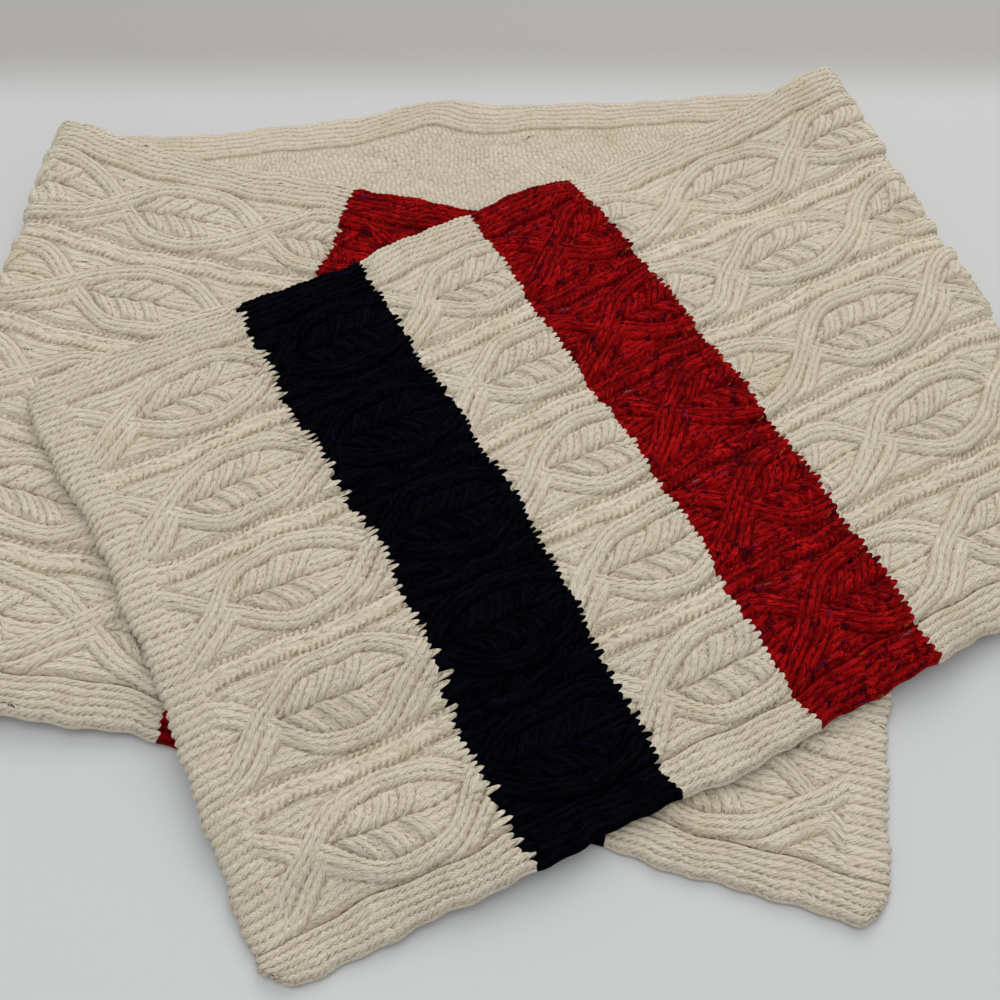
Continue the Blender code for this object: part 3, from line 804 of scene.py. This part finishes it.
# The colour joins by their stations: how long their teeth are, in rows, how far single stitches are
# shifted, how far the last stitches at the near edge run ahead, and how far the join lies off its row at
# each of its stations, in mm.
JOIN_STATIONS = (0.0, 0.05, 0.1, 0.15, 0.2, 0.25, 0.3, WIDTH)
JOINS = {
    NAVY_START: (1.12, 0.0015, 0.0042, (0.0, -2.2, 2.0, 3.6, 0.0, -4.8, -5.6, -3.0)),
    NAVY_END: (0.7, 0.001, 0.0028, (0.0, -0.6, 0.2, 2.4, 0.5, -2.6, -3.8, -3.0)),
    RED_START: (0.55, 0.0006, 0.0036, (0.3, -3.4, -1.2, -1.0, -2.4, -2.8, -2.0, -0.8)),
    RED_END: (0.55, 0.0007, 0.003, (-2.5, -2.0, -2.2, -1.2, -2.0, -2.2, -3.8, -1.0)),
    LENGTH - RED_END: (0.6, 0.0007, 0.0, (0.0, 0.0, 0.0, 0.0, 0.0, -5.0, -3.8, -3.2)),
}
JOIN_REACH = 0.020
JOIN_STITCHES = 99
JOIN_SCALLOP = 0.0009
AHEAD_REACH = 0.011


def joint_shift(t, join):
    """How far a colour join lies from its straight line: a tip for each stitch, on soft scallops."""
    tooth, jitter, edge_ahead, off_row = JOINS[join]
    rng = np.random.default_rng(list(JOINS).index(join) + 1)
    wale = t / (4 * FINE_COLUMN)
    stitch = np.clip(np.floor(wale).astype(int), 0, JOIN_STITCHES - 1)
    reach = rng.uniform(0.5, 1.5, JOIN_STITCHES)[stitch]
    raised = rng.normal(0.0, jitter, JOIN_STITCHES)[stitch]
    tip = (0.5 - (2 * (wale % 1.0) - 1.0) ** 2) * ROW * tooth * reach
    raised = raised * ease((0.5 - np.abs(wale % 1 - 0.5)) * 4.0)
    scallop = JOIN_SCALLOP * wave((t - PANEL_FIRST) / PANEL_PITCH)
    bow = 0.001 * read_table(tuple(zip(JOIN_STATIONS, off_row)), t, 1)
    return tip + raised + scallop + bow + edge_ahead * ease(1 - t / AHEAD_REACH)


def grid(rows, columns, jagged=False):
    """Stations of a grid, its first and last rows drawn out along the colour joins that it has."""
    s = np.repeat(rows[:, None], len(columns), axis=1)
    t = np.repeat(columns[None, :], len(rows), axis=0)
    for end in (rows[0], rows[-1]):
        if jagged and end in JOINS:
            s = s + joint_shift(t, end) * ease(1 - np.abs(s - end) / JOIN_REACH)
    return s, t


def zip_faces(fine, coarse, turned):
    """Triangles between two runs of (station, index) along one side of the wall."""
    faces = []
    i = j = 0
    while i < len(fine) - 1 or j < len(coarse) - 1:
        next_fine = fine[i + 1][0] if i < len(fine) - 1 else math.inf
        next_coarse = coarse[j + 1][0] if j < len(coarse) - 1 else math.inf
        if next_fine <= next_coarse:
            faces.append((fine[i][1], coarse[j][1], fine[i + 1][1]))
            i += 1
        else:
            faces.append((fine[i][1], coarse[j][1], coarse[j + 1][1]))
            j += 1
    faces = np.array(faces)
    return faces[:, ::-1] if turned else faces


def side_runs(s, t, loop):
    """The start, end, near and far side of a grid's border: their stations, with their places in a loop."""
    rows, columns = s.shape
    last = columns + rows - 2
    loop = np.append(loop, loop[0])
    sides = (
        (t[0], loop[:columns]),
        (t[-1], loop[last : last + columns][::-1]),
        (s[:, 0], loop[last + columns - 1 :][::-1]),
        (s[:, -1], loop[columns - 1 : last + 1]),
    )
    return [list(zip(*side)) for side in sides]


class Cloth:
    """Points and faces of one piece, gathered before they become a mesh."""

    def __init__(self):
        self.points = []
        self.strip = []
        self.hollow = []
        self.purl = []
        self.faces = []
        self.stitches = []
        self.count = 0

    # Points with no knitting of their own, on the plain inner face and the rim, get a fixed share of painted
    # shading.
    def add(self, s, t, depth, hollow=0.35, purl=0.0):
        index = self.count + np.arange(s.size).reshape(s.shape)
        self.points.append(place(s, t, depth + 0 * s).reshape(-1, 3))
        self.strip.append(np.stack((s, t), -1).reshape(-1, 2))
        self.hollow.append((hollow + 0 * s).ravel())
        self.purl.append((purl + 0 * s).ravel())
        self.count += s.size
        return index

    def face(self, faces, stitches=None):
        """Faces, with the (wale, row) of each corner, by default those of plain ribbing."""
        if stitches is None:
            stitches = (np.concatenate(self.strip) / (ROW, RIB_WALE))[faces][..., ::-1]
        self.faces.append(faces)
        self.stitches.append(stitches)

    def face_grid(self, index, surface, upward):
        """A grid's cells as two triangles each, every triangle in the stitches of its highest corner."""
        a, b, c, d = index[:-1, :-1], index[1:, :-1], index[1:, 1:], index[:-1, 1:]
        faces = np.stack((a, b, c, a, c, d), axis=-1).reshape(-1, 3)
        faces = faces if upward else faces[:, ::-1]
        if surface is None:
            self.face(faces)
            return
        local = faces - index[0, 0]
        highest = np.argmax(surface.height.ravel()[local], axis=1)
        leading = surface.top.ravel()[local[np.arange(len(local)), highest]]
        layers = np.array(surface.stitches).reshape(len(surface.stitches), 2, -1)
        self.face(faces, layers[leading[:, None], :, local])


def border(array):
    """The border of a grid as one loop: start, far side, end, near side."""
    return np.concatenate((array[0], array[1:, -1], array[-1, -2::-1], array[-2:0:-1, 0]))


def make_cloth(name, nodes, slot, right, wrong, wrong_side_shows):
    """A wall of cloth between its right and wrong side, each given as its (rows, columns)."""
    cloth = Cloth()
    s, t = grid(*right, jagged=True)
    depth, surface, hollow = knit_right_side(s, t)
    depth = depth * (1 - EDGE_THIN * (1 - edge_rounding(s, t)))
    top = cloth.add(s, t, depth, hollow)
    cloth.face_grid(top, surface, True)

    inner_s, inner_t = grid(*wrong)
    tuck = EDGE_TUCK * (1 - edge_rounding(inner_s, inner_t))
    if wrong_side_shows:
        rise, inner_surface, inner_hollow, purl = knit_wrong_side(inner_s, inner_t)
        bottom = cloth.add(inner_s, inner_t, tuck - rise, inner_hollow, purl)
        cloth.face_grid(bottom, inner_surface, False)
    else:
        bottom = cloth.add(inner_s, inner_t, tuck)
        cloth.face_grid(bottom, None, False)

    # The rim: rings round the border, bulging where it is a real edge of the strip.
    ring_s, ring_t, ring_depth = border(s), border(t), border(depth)
    out_t = np.where(ring_t < TINY, -1.0, np.where(ring_t > WIDTH - TINY, 1.0, 0.0))
    out_s = np.where(ring_s < TINY, -1.0, np.where(ring_s > LENGTH - TINY, 1.0, 0.0))
    lumps = 1 + 0.30 * wave(ring_s / ROW) * np.abs(out_t)
    loop = border(top)
    for bulge, share in RIM_RINGS:
        ring = cloth.add(ring_s + bulge * out_s, ring_t + bulge * lumps * out_t, share * ring_depth)
        following = np.roll(loop, -1)
        ring_following = np.roll(ring, -1)
        cloth.face(np.stack((loop, following, ring_following, loop, ring_following, ring), -1).reshape(-1, 3))
        loop = ring
    inner_runs = side_runs(inner_s, inner_t, border(bottom))
    for fine, coarse, turned in zip(side_runs(s, t, loop), inner_runs, (True, False, False, True)):
        cloth.face(zip_faces(fine, coarse, turned))
    crease_rows = [top[end] for end in (0, -1) if right[0][end] in JOINS]
    return finish_cloth(name, nodes, slot, cloth, crease_rows)


def add_object(name, data):
    holder = bpy.data.objects.new(name, data)
    bpy.context.scene.collection.objects.link(holder)
    return holder


def finish_cloth(name, nodes, slot, cloth, crease_rows):
    points = np.concatenate(cloth.points).astype(np.float32)
    faces = np.concatenate(cloth.faces)
    mesh = bpy.data.meshes.new(name)
    mesh.vertices.add(len(points))
    mesh.vertices.foreach_set("co", points.ravel())
    mesh.loops.add(faces.size)
    mesh.loops.foreach_set("vertex_index", faces.astype(np.int32).ravel())
    mesh.polygons.add(len(faces))
    mesh.polygons.foreach_set("loop_start", np.arange(0, faces.size, 3, dtype=np.int32))
    mesh.polygons.foreach_set("loop_total", np.full(len(faces), 3, np.int32))
    mesh.update(calc_edges=True)
    mesh.shade_smooth()

    strip = np.concatenate(cloth.strip)[faces.ravel()]
    stitches = np.concatenate(cloth.stitches)
    for layer, corners in (("strip", strip), ("stitch", stitches)):
        mesh.uv_layers.new(name=layer).data.foreach_set("uv", corners.astype(np.float32).ravel())
    # hollow carries each point's share of painted shading, purl how far its stitches are purl.
    for layer, values in (("hollow", cloth.hollow), ("purl", cloth.purl)):
        attribute = mesh.attributes.new(layer, "FLOAT", "POINT")
        attribute.data.foreach_set("value", np.concatenate(values).astype(np.float32))

    # Colour joins are creases, so that neither piece's shading turns down its hidden side.
    if crease_rows:
        on_join = np.zeros(len(points), bool)
        on_join[np.concatenate(crease_rows)] = True
        edges = np.empty(len(mesh.edges) * 2, np.int32)
        mesh.edges.foreach_get("vertices", edges)
        crease = mesh.attributes.new("sharp_edge", "BOOLEAN", "EDGE")
        crease.data.foreach_set("value", on_join[edges.reshape(-1, 2)].all(axis=1))

    mesh.materials.append(WOOLS[slot])
    piece = add_object(name, mesh)
    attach(piece, "root")
    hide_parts(*nodes)
    return piece


# --- materials
LEG_NOTCH = 0.38
LEG_ROUND = 0.36
LEG_RISE = 0.0007
FIBRE_RISE = 0.0011
HOLE_SINK = 0.55  # how far the hole between two columns' stitches sinks below their legs


def on_screen(colour):
    """A colour from its 0 to 255 values on screen."""
    shares = [value / 255 for value in colour]
    return (*(v / 12.92 if v <= 0.04045 else ((v + 0.055) / 1.055) ** 2.4 for v in shares), 1.0)


class Nodes:
    """A node tree that is written as nested calls."""

    def __init__(self, material):
        material.use_nodes = True
        self.tree = material.node_tree
        self.shader = self.tree.nodes["Principled BSDF"]

    def set(self, node, key, value):
        if isinstance(value, bpy.types.NodeSocket):
            self.tree.links.new(value, node.inputs[key])
        else:
            node.inputs[key].default_value = value

    def add(self, kind, inputs=(), **settings):
        node = self.tree.nodes.new(kind)
        for key, value in settings.items():
            setattr(node, key, value)
        for key, value in dict(inputs).items():
            self.set(node, key, value)
        return node

    def math(self, operation, a, b=0.0):
        return self.add("ShaderNodeMath", {0: a, 1: b}, operation=operation).outputs[0]

    plus = partialmethod(math, "ADD")
    minus = partialmethod(math, "SUBTRACT")
    times = partialmethod(math, "MULTIPLY")
    power = partialmethod(math, "POWER")
    floor = partialmethod(math, "FLOOR")
    fract = partialmethod(math, "FRACT")
    sine = partialmethod(math, "SINE")
    absolute = partialmethod(math, "ABSOLUTE")

    def off_half(self, a):
        """How far a share from 0 to 1 lies off one half: 0 there, 1 at both ends."""
        return self.times(self.absolute(self.minus(a, 0.5)), 2.0)

    def arch(self, a):
        """0 at whole numbers, 1 half way between them."""
        return self.absolute(self.sine(self.times(a, math.pi)))

    def mix(self, factor, a, b):
        """A colour between two, each a socket or its 0 to 255 values on screen."""
        a, b = (on_screen(colour) if isinstance(colour, tuple) else colour for colour in (a, b))
        return self.add("ShaderNodeMix", {"Factor": factor, 6: a, 7: b}, data_type="RGBA").outputs[2]

    def blend(self, factor, a, b):
        """A number between a and b."""
        return self.add("ShaderNodeMix", {0: factor, 2: a, 3: b}, data_type="FLOAT").outputs[0]

    def noise(self, vector, scale, detail=2.0, roughness=0.5):
        inputs = {"Vector": vector, "Scale": scale, "Detail": detail, "Roughness": roughness}
        return self.add("ShaderNodeTexNoise", inputs).outputs[0]

    def between(self, value, low, high):
        """0 below low, 1 above high."""
        inputs = {"Value": value, "From Min": low, "From Max": high}
        return self.add("ShaderNodeMapRange", inputs, interpolation_type="SMOOTHSTEP").outputs[0]

    def attribute(self, name):
        return self.add("ShaderNodeAttribute", attribute_name=name).outputs["Fac"]

    def layout(self, name):
        return self.add("ShaderNodeUVMap", uv_map=name).outputs[0]

    def stretched(self, vector, scale):
        return self.add("ShaderNodeMapping", {"Vector": vector, "Scale": scale}).outputs[0]

    def split(self, vector):
        return self.add("ShaderNodeSeparateXYZ", {0: vector}).outputs

    def joined(self, x, y, z=0.0):
        return self.add("ShaderNodeCombineXYZ", {0: x, 1: y, 2: z}).outputs[0]

    def moved(self, vector, by):
        return self.add("ShaderNodeVectorMath", {0: vector, 1: by}).outputs[0]

    def random(self, vector):
        return self.add("ShaderNodeTexWhiteNoise", {"Vector": vector}, noise_dimensions="3D").outputs["Value"]


def stitch_nodes(n):
    """Each point's height on its stitch (0 to 1), how far it lies in the line or in the hole beside it
    (0 to 1 each), and a (leg, row) cell that is the same all over the leg."""
    wale, row, _ = n.split(n.layout("stitch"))
    strip = n.layout("strip")
    quick = n.minus(n.noise(strip, 420.0), 0.5)
    wale = n.plus(wale, n.times(quick, 0.38))
    slip = n.sine(n.times(n.floor(wale), SLIP_TURN))
    slip = n.times(n.plus(n.times(slip, 0.5), 0.5), COLUMN_SLIP)
    row = n.plus(n.plus(row, n.times(quick, 0.60)), slip)
    side = n.off_half(n.fract(wale))
    leaning = n.plus(row, n.times(side, LEG_LEAN))
    ahead = n.fract(leaning)
    off_leg = n.off_half(ahead)
    yarn = n.plus(1.0 - LEG_ROUND, n.times(n.power(n.arch(ahead), 0.8), LEG_ROUND))
    notch = n.times(n.power(side, 3.0), LEG_NOTCH)
    hole = n.times(n.between(off_leg, 0.15, 0.90), n.between(side, 0.42, 0.95))
    pair = n.joined(n.floor(n.plus(wale, 0.5)), n.floor(leaning), 5.0)
    hole = n.times(hole, n.plus(n.times(n.random(pair), 0.75), 0.45))
    leg = n.times(yarn, n.minus(1.0, notch))
    leg = n.times(leg, n.minus(1.0, n.times(hole, HOLE_SINK)))
    leg_cell = n.joined(n.floor(n.times(wale, 2.0)), n.floor(leaning))

    bump_across = n.arch(n.plus(wale, n.times(n.floor(row), 0.5)))
    bump = n.times(n.power(bump_across, 0.7), n.power(n.arch(row), 0.6))
    purl = n.attribute("purl")
    height = n.blend(purl, leg, bump)
    line = n.times(n.between(off_leg, 0.55, 1.0), 0.55)
    line = n.math("MAXIMUM", line, n.between(side, 0.74, 1.0))
    line = n.blend(purl, line, n.between(bump, 0.65, 0.05))
    gap = n.times(n.between(bump, 0.60, 0.20), n.between(n.noise(strip, 330.0), 0.56, 0.68))
    return height, line, n.blend(purl, hole, gap), leg_cell


def wool(name, yarn, shade_and_speckle, ditch, depth, patches=(), neps=(), sheen=0.0, specular=0.12):
    """Matt wool: mixed yarn with painted shading between its stitches and in its ditches, flecked with neps.

    depth: how strong the painted shading is in lines between legs, holes between columns and ditches.
    """
    material = bpy.data.materials.new(name)
    n = Nodes(material)
    strip = n.layout("strip")
    obj = n.add("ShaderNodeTexCoord").outputs["Object"]
    stitch, line, hole, leg_cell = stitch_nodes(n)
    tone = n.random(leg_cell)
    cloud = n.noise(n.stretched(strip, (60.0, 30.0, 1.0)), 1.0, 3.0, 0.6)
    mixed = n.plus(n.times(cloud, 0.55), n.times(tone, 0.45))
    colour = n.mix(n.between(mixed, 0.25, 0.75), *yarn)
    for number, (scale, low, high, patch) in enumerate(patches):
        moved = n.moved(strip, (3.7 * number, 1.9 * number, 0.0))
        runs = n.noise(n.stretched(moved, (scale, scale * 0.80, 1.0)), 1.0, 3.0, 0.7)
        runs = n.plus(runs, n.times(n.minus(tone, 0.5), 0.20))
        colour = n.mix(n.between(runs, low, high), colour, patch)
    for number, (share, fleck) in enumerate(neps):
        picked = n.random(n.moved(leg_cell, (0.5, 0.5, number + 3.0)))
        picked = n.math("GREATER_THAN", picked, 1.0 - share)
        worn = n.between(n.noise(obj, 700.0), 0.42, 0.56)
        colour = n.mix(n.times(picked, worn), colour, fleck)
    # The yarn's own fine speckle, mixed a little toward the colour of the painted shading.
    grain = n.noise(obj, 1300.0, 3.0, 0.7)
    colour = n.mix(n.times(n.between(grain, 0.62, 0.38), 0.06), colour, shade_and_speckle)
    # Painted shading in the lines between legs and in the holes between columns, stronger in some places than
    # others.
    uneven = n.between(n.noise(obj, 260.0), 0.30, 0.70)
    dark = n.plus(n.times(line, depth[0]), n.times(hole, depth[1]))
    dark = n.times(dark, n.plus(0.35, n.times(uneven, 0.90)))
    colour = n.mix(n.math("MINIMUM", dark, 0.9), colour, shade_and_speckle)
    # Painted shading in hollows, ditches, the heart's vein and between a ditch's bars, in the warm ditch
    # colour.
    hollow_shading = n.between(n.attribute("hollow"), 0.05, 1.0)
    colour = n.mix(n.times(hollow_shading, depth[2]), colour, ditch)

    fibres = n.noise(obj, 520.0, 5.0, 0.75)
    fine = n.add("ShaderNodeBump", {"Height": fibres, "Strength": 1.0, "Distance": FIBRE_RISE})
    bump = n.add("ShaderNodeBump", {"Height": stitch, "Distance": LEG_RISE, "Normal": fine.outputs[0]})
    n.set(n.shader, "Base Color", colour)
    n.set(n.shader, "Normal", bump.outputs[0])
    n.set(n.shader, "Roughness", 0.95)
    n.set(n.shader, "Sheen Weight", sheen)
    n.set(n.shader, "Sheen Roughness", 0.6)
    n.set(n.shader, "Specular IOR Level", specular)
    return material


# In each look the two dark colours are painted shading: one between the stitches, which also gives the yarn's
# own fine speckle, and a warm one in hollows and ditches.
WOOL_LOOKS = {
    "cream_wool": dict(
        yarn=((235, 222, 198), (245, 234, 212)),
        shade_and_speckle=(124, 101, 66),
        ditch=(150, 129, 92),
        depth=(0.10, 0.46, 0.56),
        patches=((26.0, 0.58, 0.82, (227, 211, 178)),),
        neps=((0.0006, (86, 72, 54)),),
        sheen=0.10,
    ),
    "navy_wool": dict(
        yarn=((2, 2, 7), (11, 11, 21)),
        shade_and_speckle=(1, 1, 2),
        ditch=(1, 1, 4),
        depth=(0.50, 0.70, 0.55),
        patches=((330.0, 0.715, 0.76, (14, 20, 72)),),
        neps=((0.003, (16, 20, 90)), (0.002, (40, 46, 96))),
        specular=0.03,
    ),
    "red_wool": dict(
        yarn=((121, 5, 9), (191, 17, 18)),
        shade_and_speckle=(40, 0, 4),
        ditch=(60, 1, 6),
        depth=(0.50, 0.85, 0.55),
        patches=(
            (130.0, 0.55, 0.68, (205, 22, 24)),
            (150.0, 0.57, 0.66, (84, 3, 14)),
            (190.0, 0.66, 0.73, (34, 6, 28)),
        ),
        neps=(
            (0.006, (28, 20, 70)),
            (0.003, (70, 30, 100)),
            (0.004, (190, 84, 28)),
            (0.0008, (128, 90, 88)),
        ),
        specular=0.05,
    ),
}
WOOLS = {name: wool(name, **look) for name, look in WOOL_LOOKS.items()}


# --- the pieces
ALL_FINE = stations((0.0, WIDTH, FINE_COLUMN))
PLAIN = stations((0.0, WIDTH, PLAIN_CELL))
NEAR_SHOWS = stations((0.0, 0.150, FINE_COLUMN), (0.150, WIDTH, PLAIN_CELL))
FAR_SHOWS = stations((0.0, 0.020, 0.0012), (0.020, 0.195, PLAIN_CELL), (0.195, WIDTH, FINE_COLUMN))
BACK_SHOWS = stations((0.0, 0.225, PLAIN_CELL), (0.225, WIDTH, BACK_CELL))
COARSE = stations((0.0, WIDTH, 0.0022))

UNDER_RED = (LENGTH - RED_END, LENGTH - RED_START)
UNDER_NAVY = (LENGTH - NAVY_END, LENGTH - NAVY_START)
OVER_BODY_RUNS = ((RED_END, 0.460, MEDIUM_ROW), (0.460, 0.512, 0.0012), (0.512, BODY_END, 0.004))
UNDER_BODY_RUNS = ((BACK_END, 0.945, 0.004), (0.945, UNDER_RED[0], MEDIUM_ROW))

# Each piece's name and wool, then its right side's columns and its runs of rows.
PIECES = (
    ("over_cream_end", "cream_wool", ALL_FINE, (0.0, NAVY_START, FINE_ROW)),
    ("over_navy_band", "navy_wool", ALL_FINE, (NAVY_START, NAVY_END, FINE_ROW)),
    ("over_cream_mid", "cream_wool", ALL_FINE, (NAVY_END, RED_START, FINE_ROW)),
    ("over_red_band", "red_wool", ALL_FINE, (RED_START, RED_END, FINE_ROW)),
    ("over_body_and_right_fold", "cream_wool", ALL_FINE, *OVER_BODY_RUNS),
    ("back_stretch", "cream_wool", COARSE, (BODY_END, BACK_END, 0.0024)),
    ("under_body_and_left_fold", "cream_wool", ALL_FINE, *UNDER_BODY_RUNS),
    ("under_red_band", "red_wool", FAR_SHOWS, (*UNDER_RED, MEDIUM_ROW)),
    ("under_cream_mid", "cream_wool", PLAIN, (UNDER_RED[1], UNDER_NAVY[0], PLAIN_CELL)),
    ("under_navy_band", "navy_wool", PLAIN, (*UNDER_NAVY, PLAIN_CELL)),
    ("under_cream_end", "cream_wool", NEAR_SHOWS, (UNDER_NAVY[1], LENGTH, MEDIUM_ROW)),
)
# The nodes that a piece replaces, where they aren't the one with its own name.
FOLD_NODES = {
    "over_body_and_right_fold": ["over_cream_body", "right_fold"],
    "under_body_and_left_fold": ["left_fold", "under_cream_body"],
}

for name, slot, columns, *runs in PIECES:
    is_back = name == "back_stretch"
    start, end = runs[0][0], runs[-1][1]
    wrong = (stations((start, end, BACK_CELL if is_back else PLAIN_CELL)), BACK_SHOWS if is_back else PLAIN)
    nodes = FOLD_NODES.get(name, [name])
    make_cloth(f"{name}_knit", nodes, slot, (stations(*runs), columns), wrong, is_back)


# --- floor, light and camera
FLOOR_HALF = 2.5
CAMERA_TILT = math.radians(32.48)  # off straight down


def make_stage():
    """A pale floor, a touch darker towards the back, with a band of painted shading behind the scarf where
    backdrop paper would turn up out of the light.
    """
    corners = [(x * FLOOR_HALF, y * FLOOR_HALF, 0.0) for x, y in ((-1, -1), (1, -1), (1, 1), (-1, 1))]
    mesh = bpy.data.meshes.new("floor")
    mesh.from_pydata(corners, [], [(0, 1, 2, 3)])
    material = bpy.data.materials.new("pale_floor")
    n = Nodes(material)
    _, back, _ = n.split(n.add("ShaderNodeTexCoord").outputs["Object"])
    pale = n.mix(n.between(back, -0.25, 0.20), (209, 211, 211), (206, 206, 206))
    # The darker band behind the scarf is painted shading, standing in for paper that turns up away from the
    # light.
    n.set(n.shader, "Base Color", n.mix(n.between(back, 0.246, 0.306), pale, (175, 173, 168)))
    n.set(n.shader, "Roughness", 0.7)
    mesh.materials.append(material)
    add_object("floor", mesh)


def area_light(name, stands_at, size, power, colour):
    """A square light that looks at the middle of the floor."""
    light = bpy.data.lights.new(name, "AREA")
    light.shape = "RECTANGLE"
    light.size = light.size_y = size
    light.energy = power
    light.color = colour
    holder = add_object(name, light)
    holder.location = stands_at
    holder.rotation_euler = (-holder.location).to_track_quat("-Z", "Y").to_euler()


def make_lights():
    area_light("window", (0.8, 2.6, 2.2), 1.8, 45.0, (1.0, 0.99, 0.97))
    area_light("ceiling", (-0.1, -0.15, 1.8), 2.2, 15.2, (1.0, 0.98, 0.95))
    world = bpy.data.worlds.new("soft_room")
    world.use_nodes = True
    background = world.node_tree.nodes["Background"]
    background.inputs["Color"].default_value = (0.93, 0.96, 1.0, 1.0)
    background.inputs["Strength"].default_value = 0.43
    bpy.context.scene.world = world


def make_camera():
    """The photo's view: from in front, looking down on the table."""
    camera = bpy.data.cameras.new("camera")
    camera.lens = 45.0
    camera.sensor_width = 36.0
    holder = add_object("camera", camera)
    holder.location = (-0.0065, -0.3534, 0.5065)
    holder.rotation_euler = (CAMERA_TILT, 0.0, 0.0)
    bpy.context.scene.camera = holder


make_stage()
make_lights()
make_camera()
bpy.context.scene.view_settings.view_transform = "Standard"
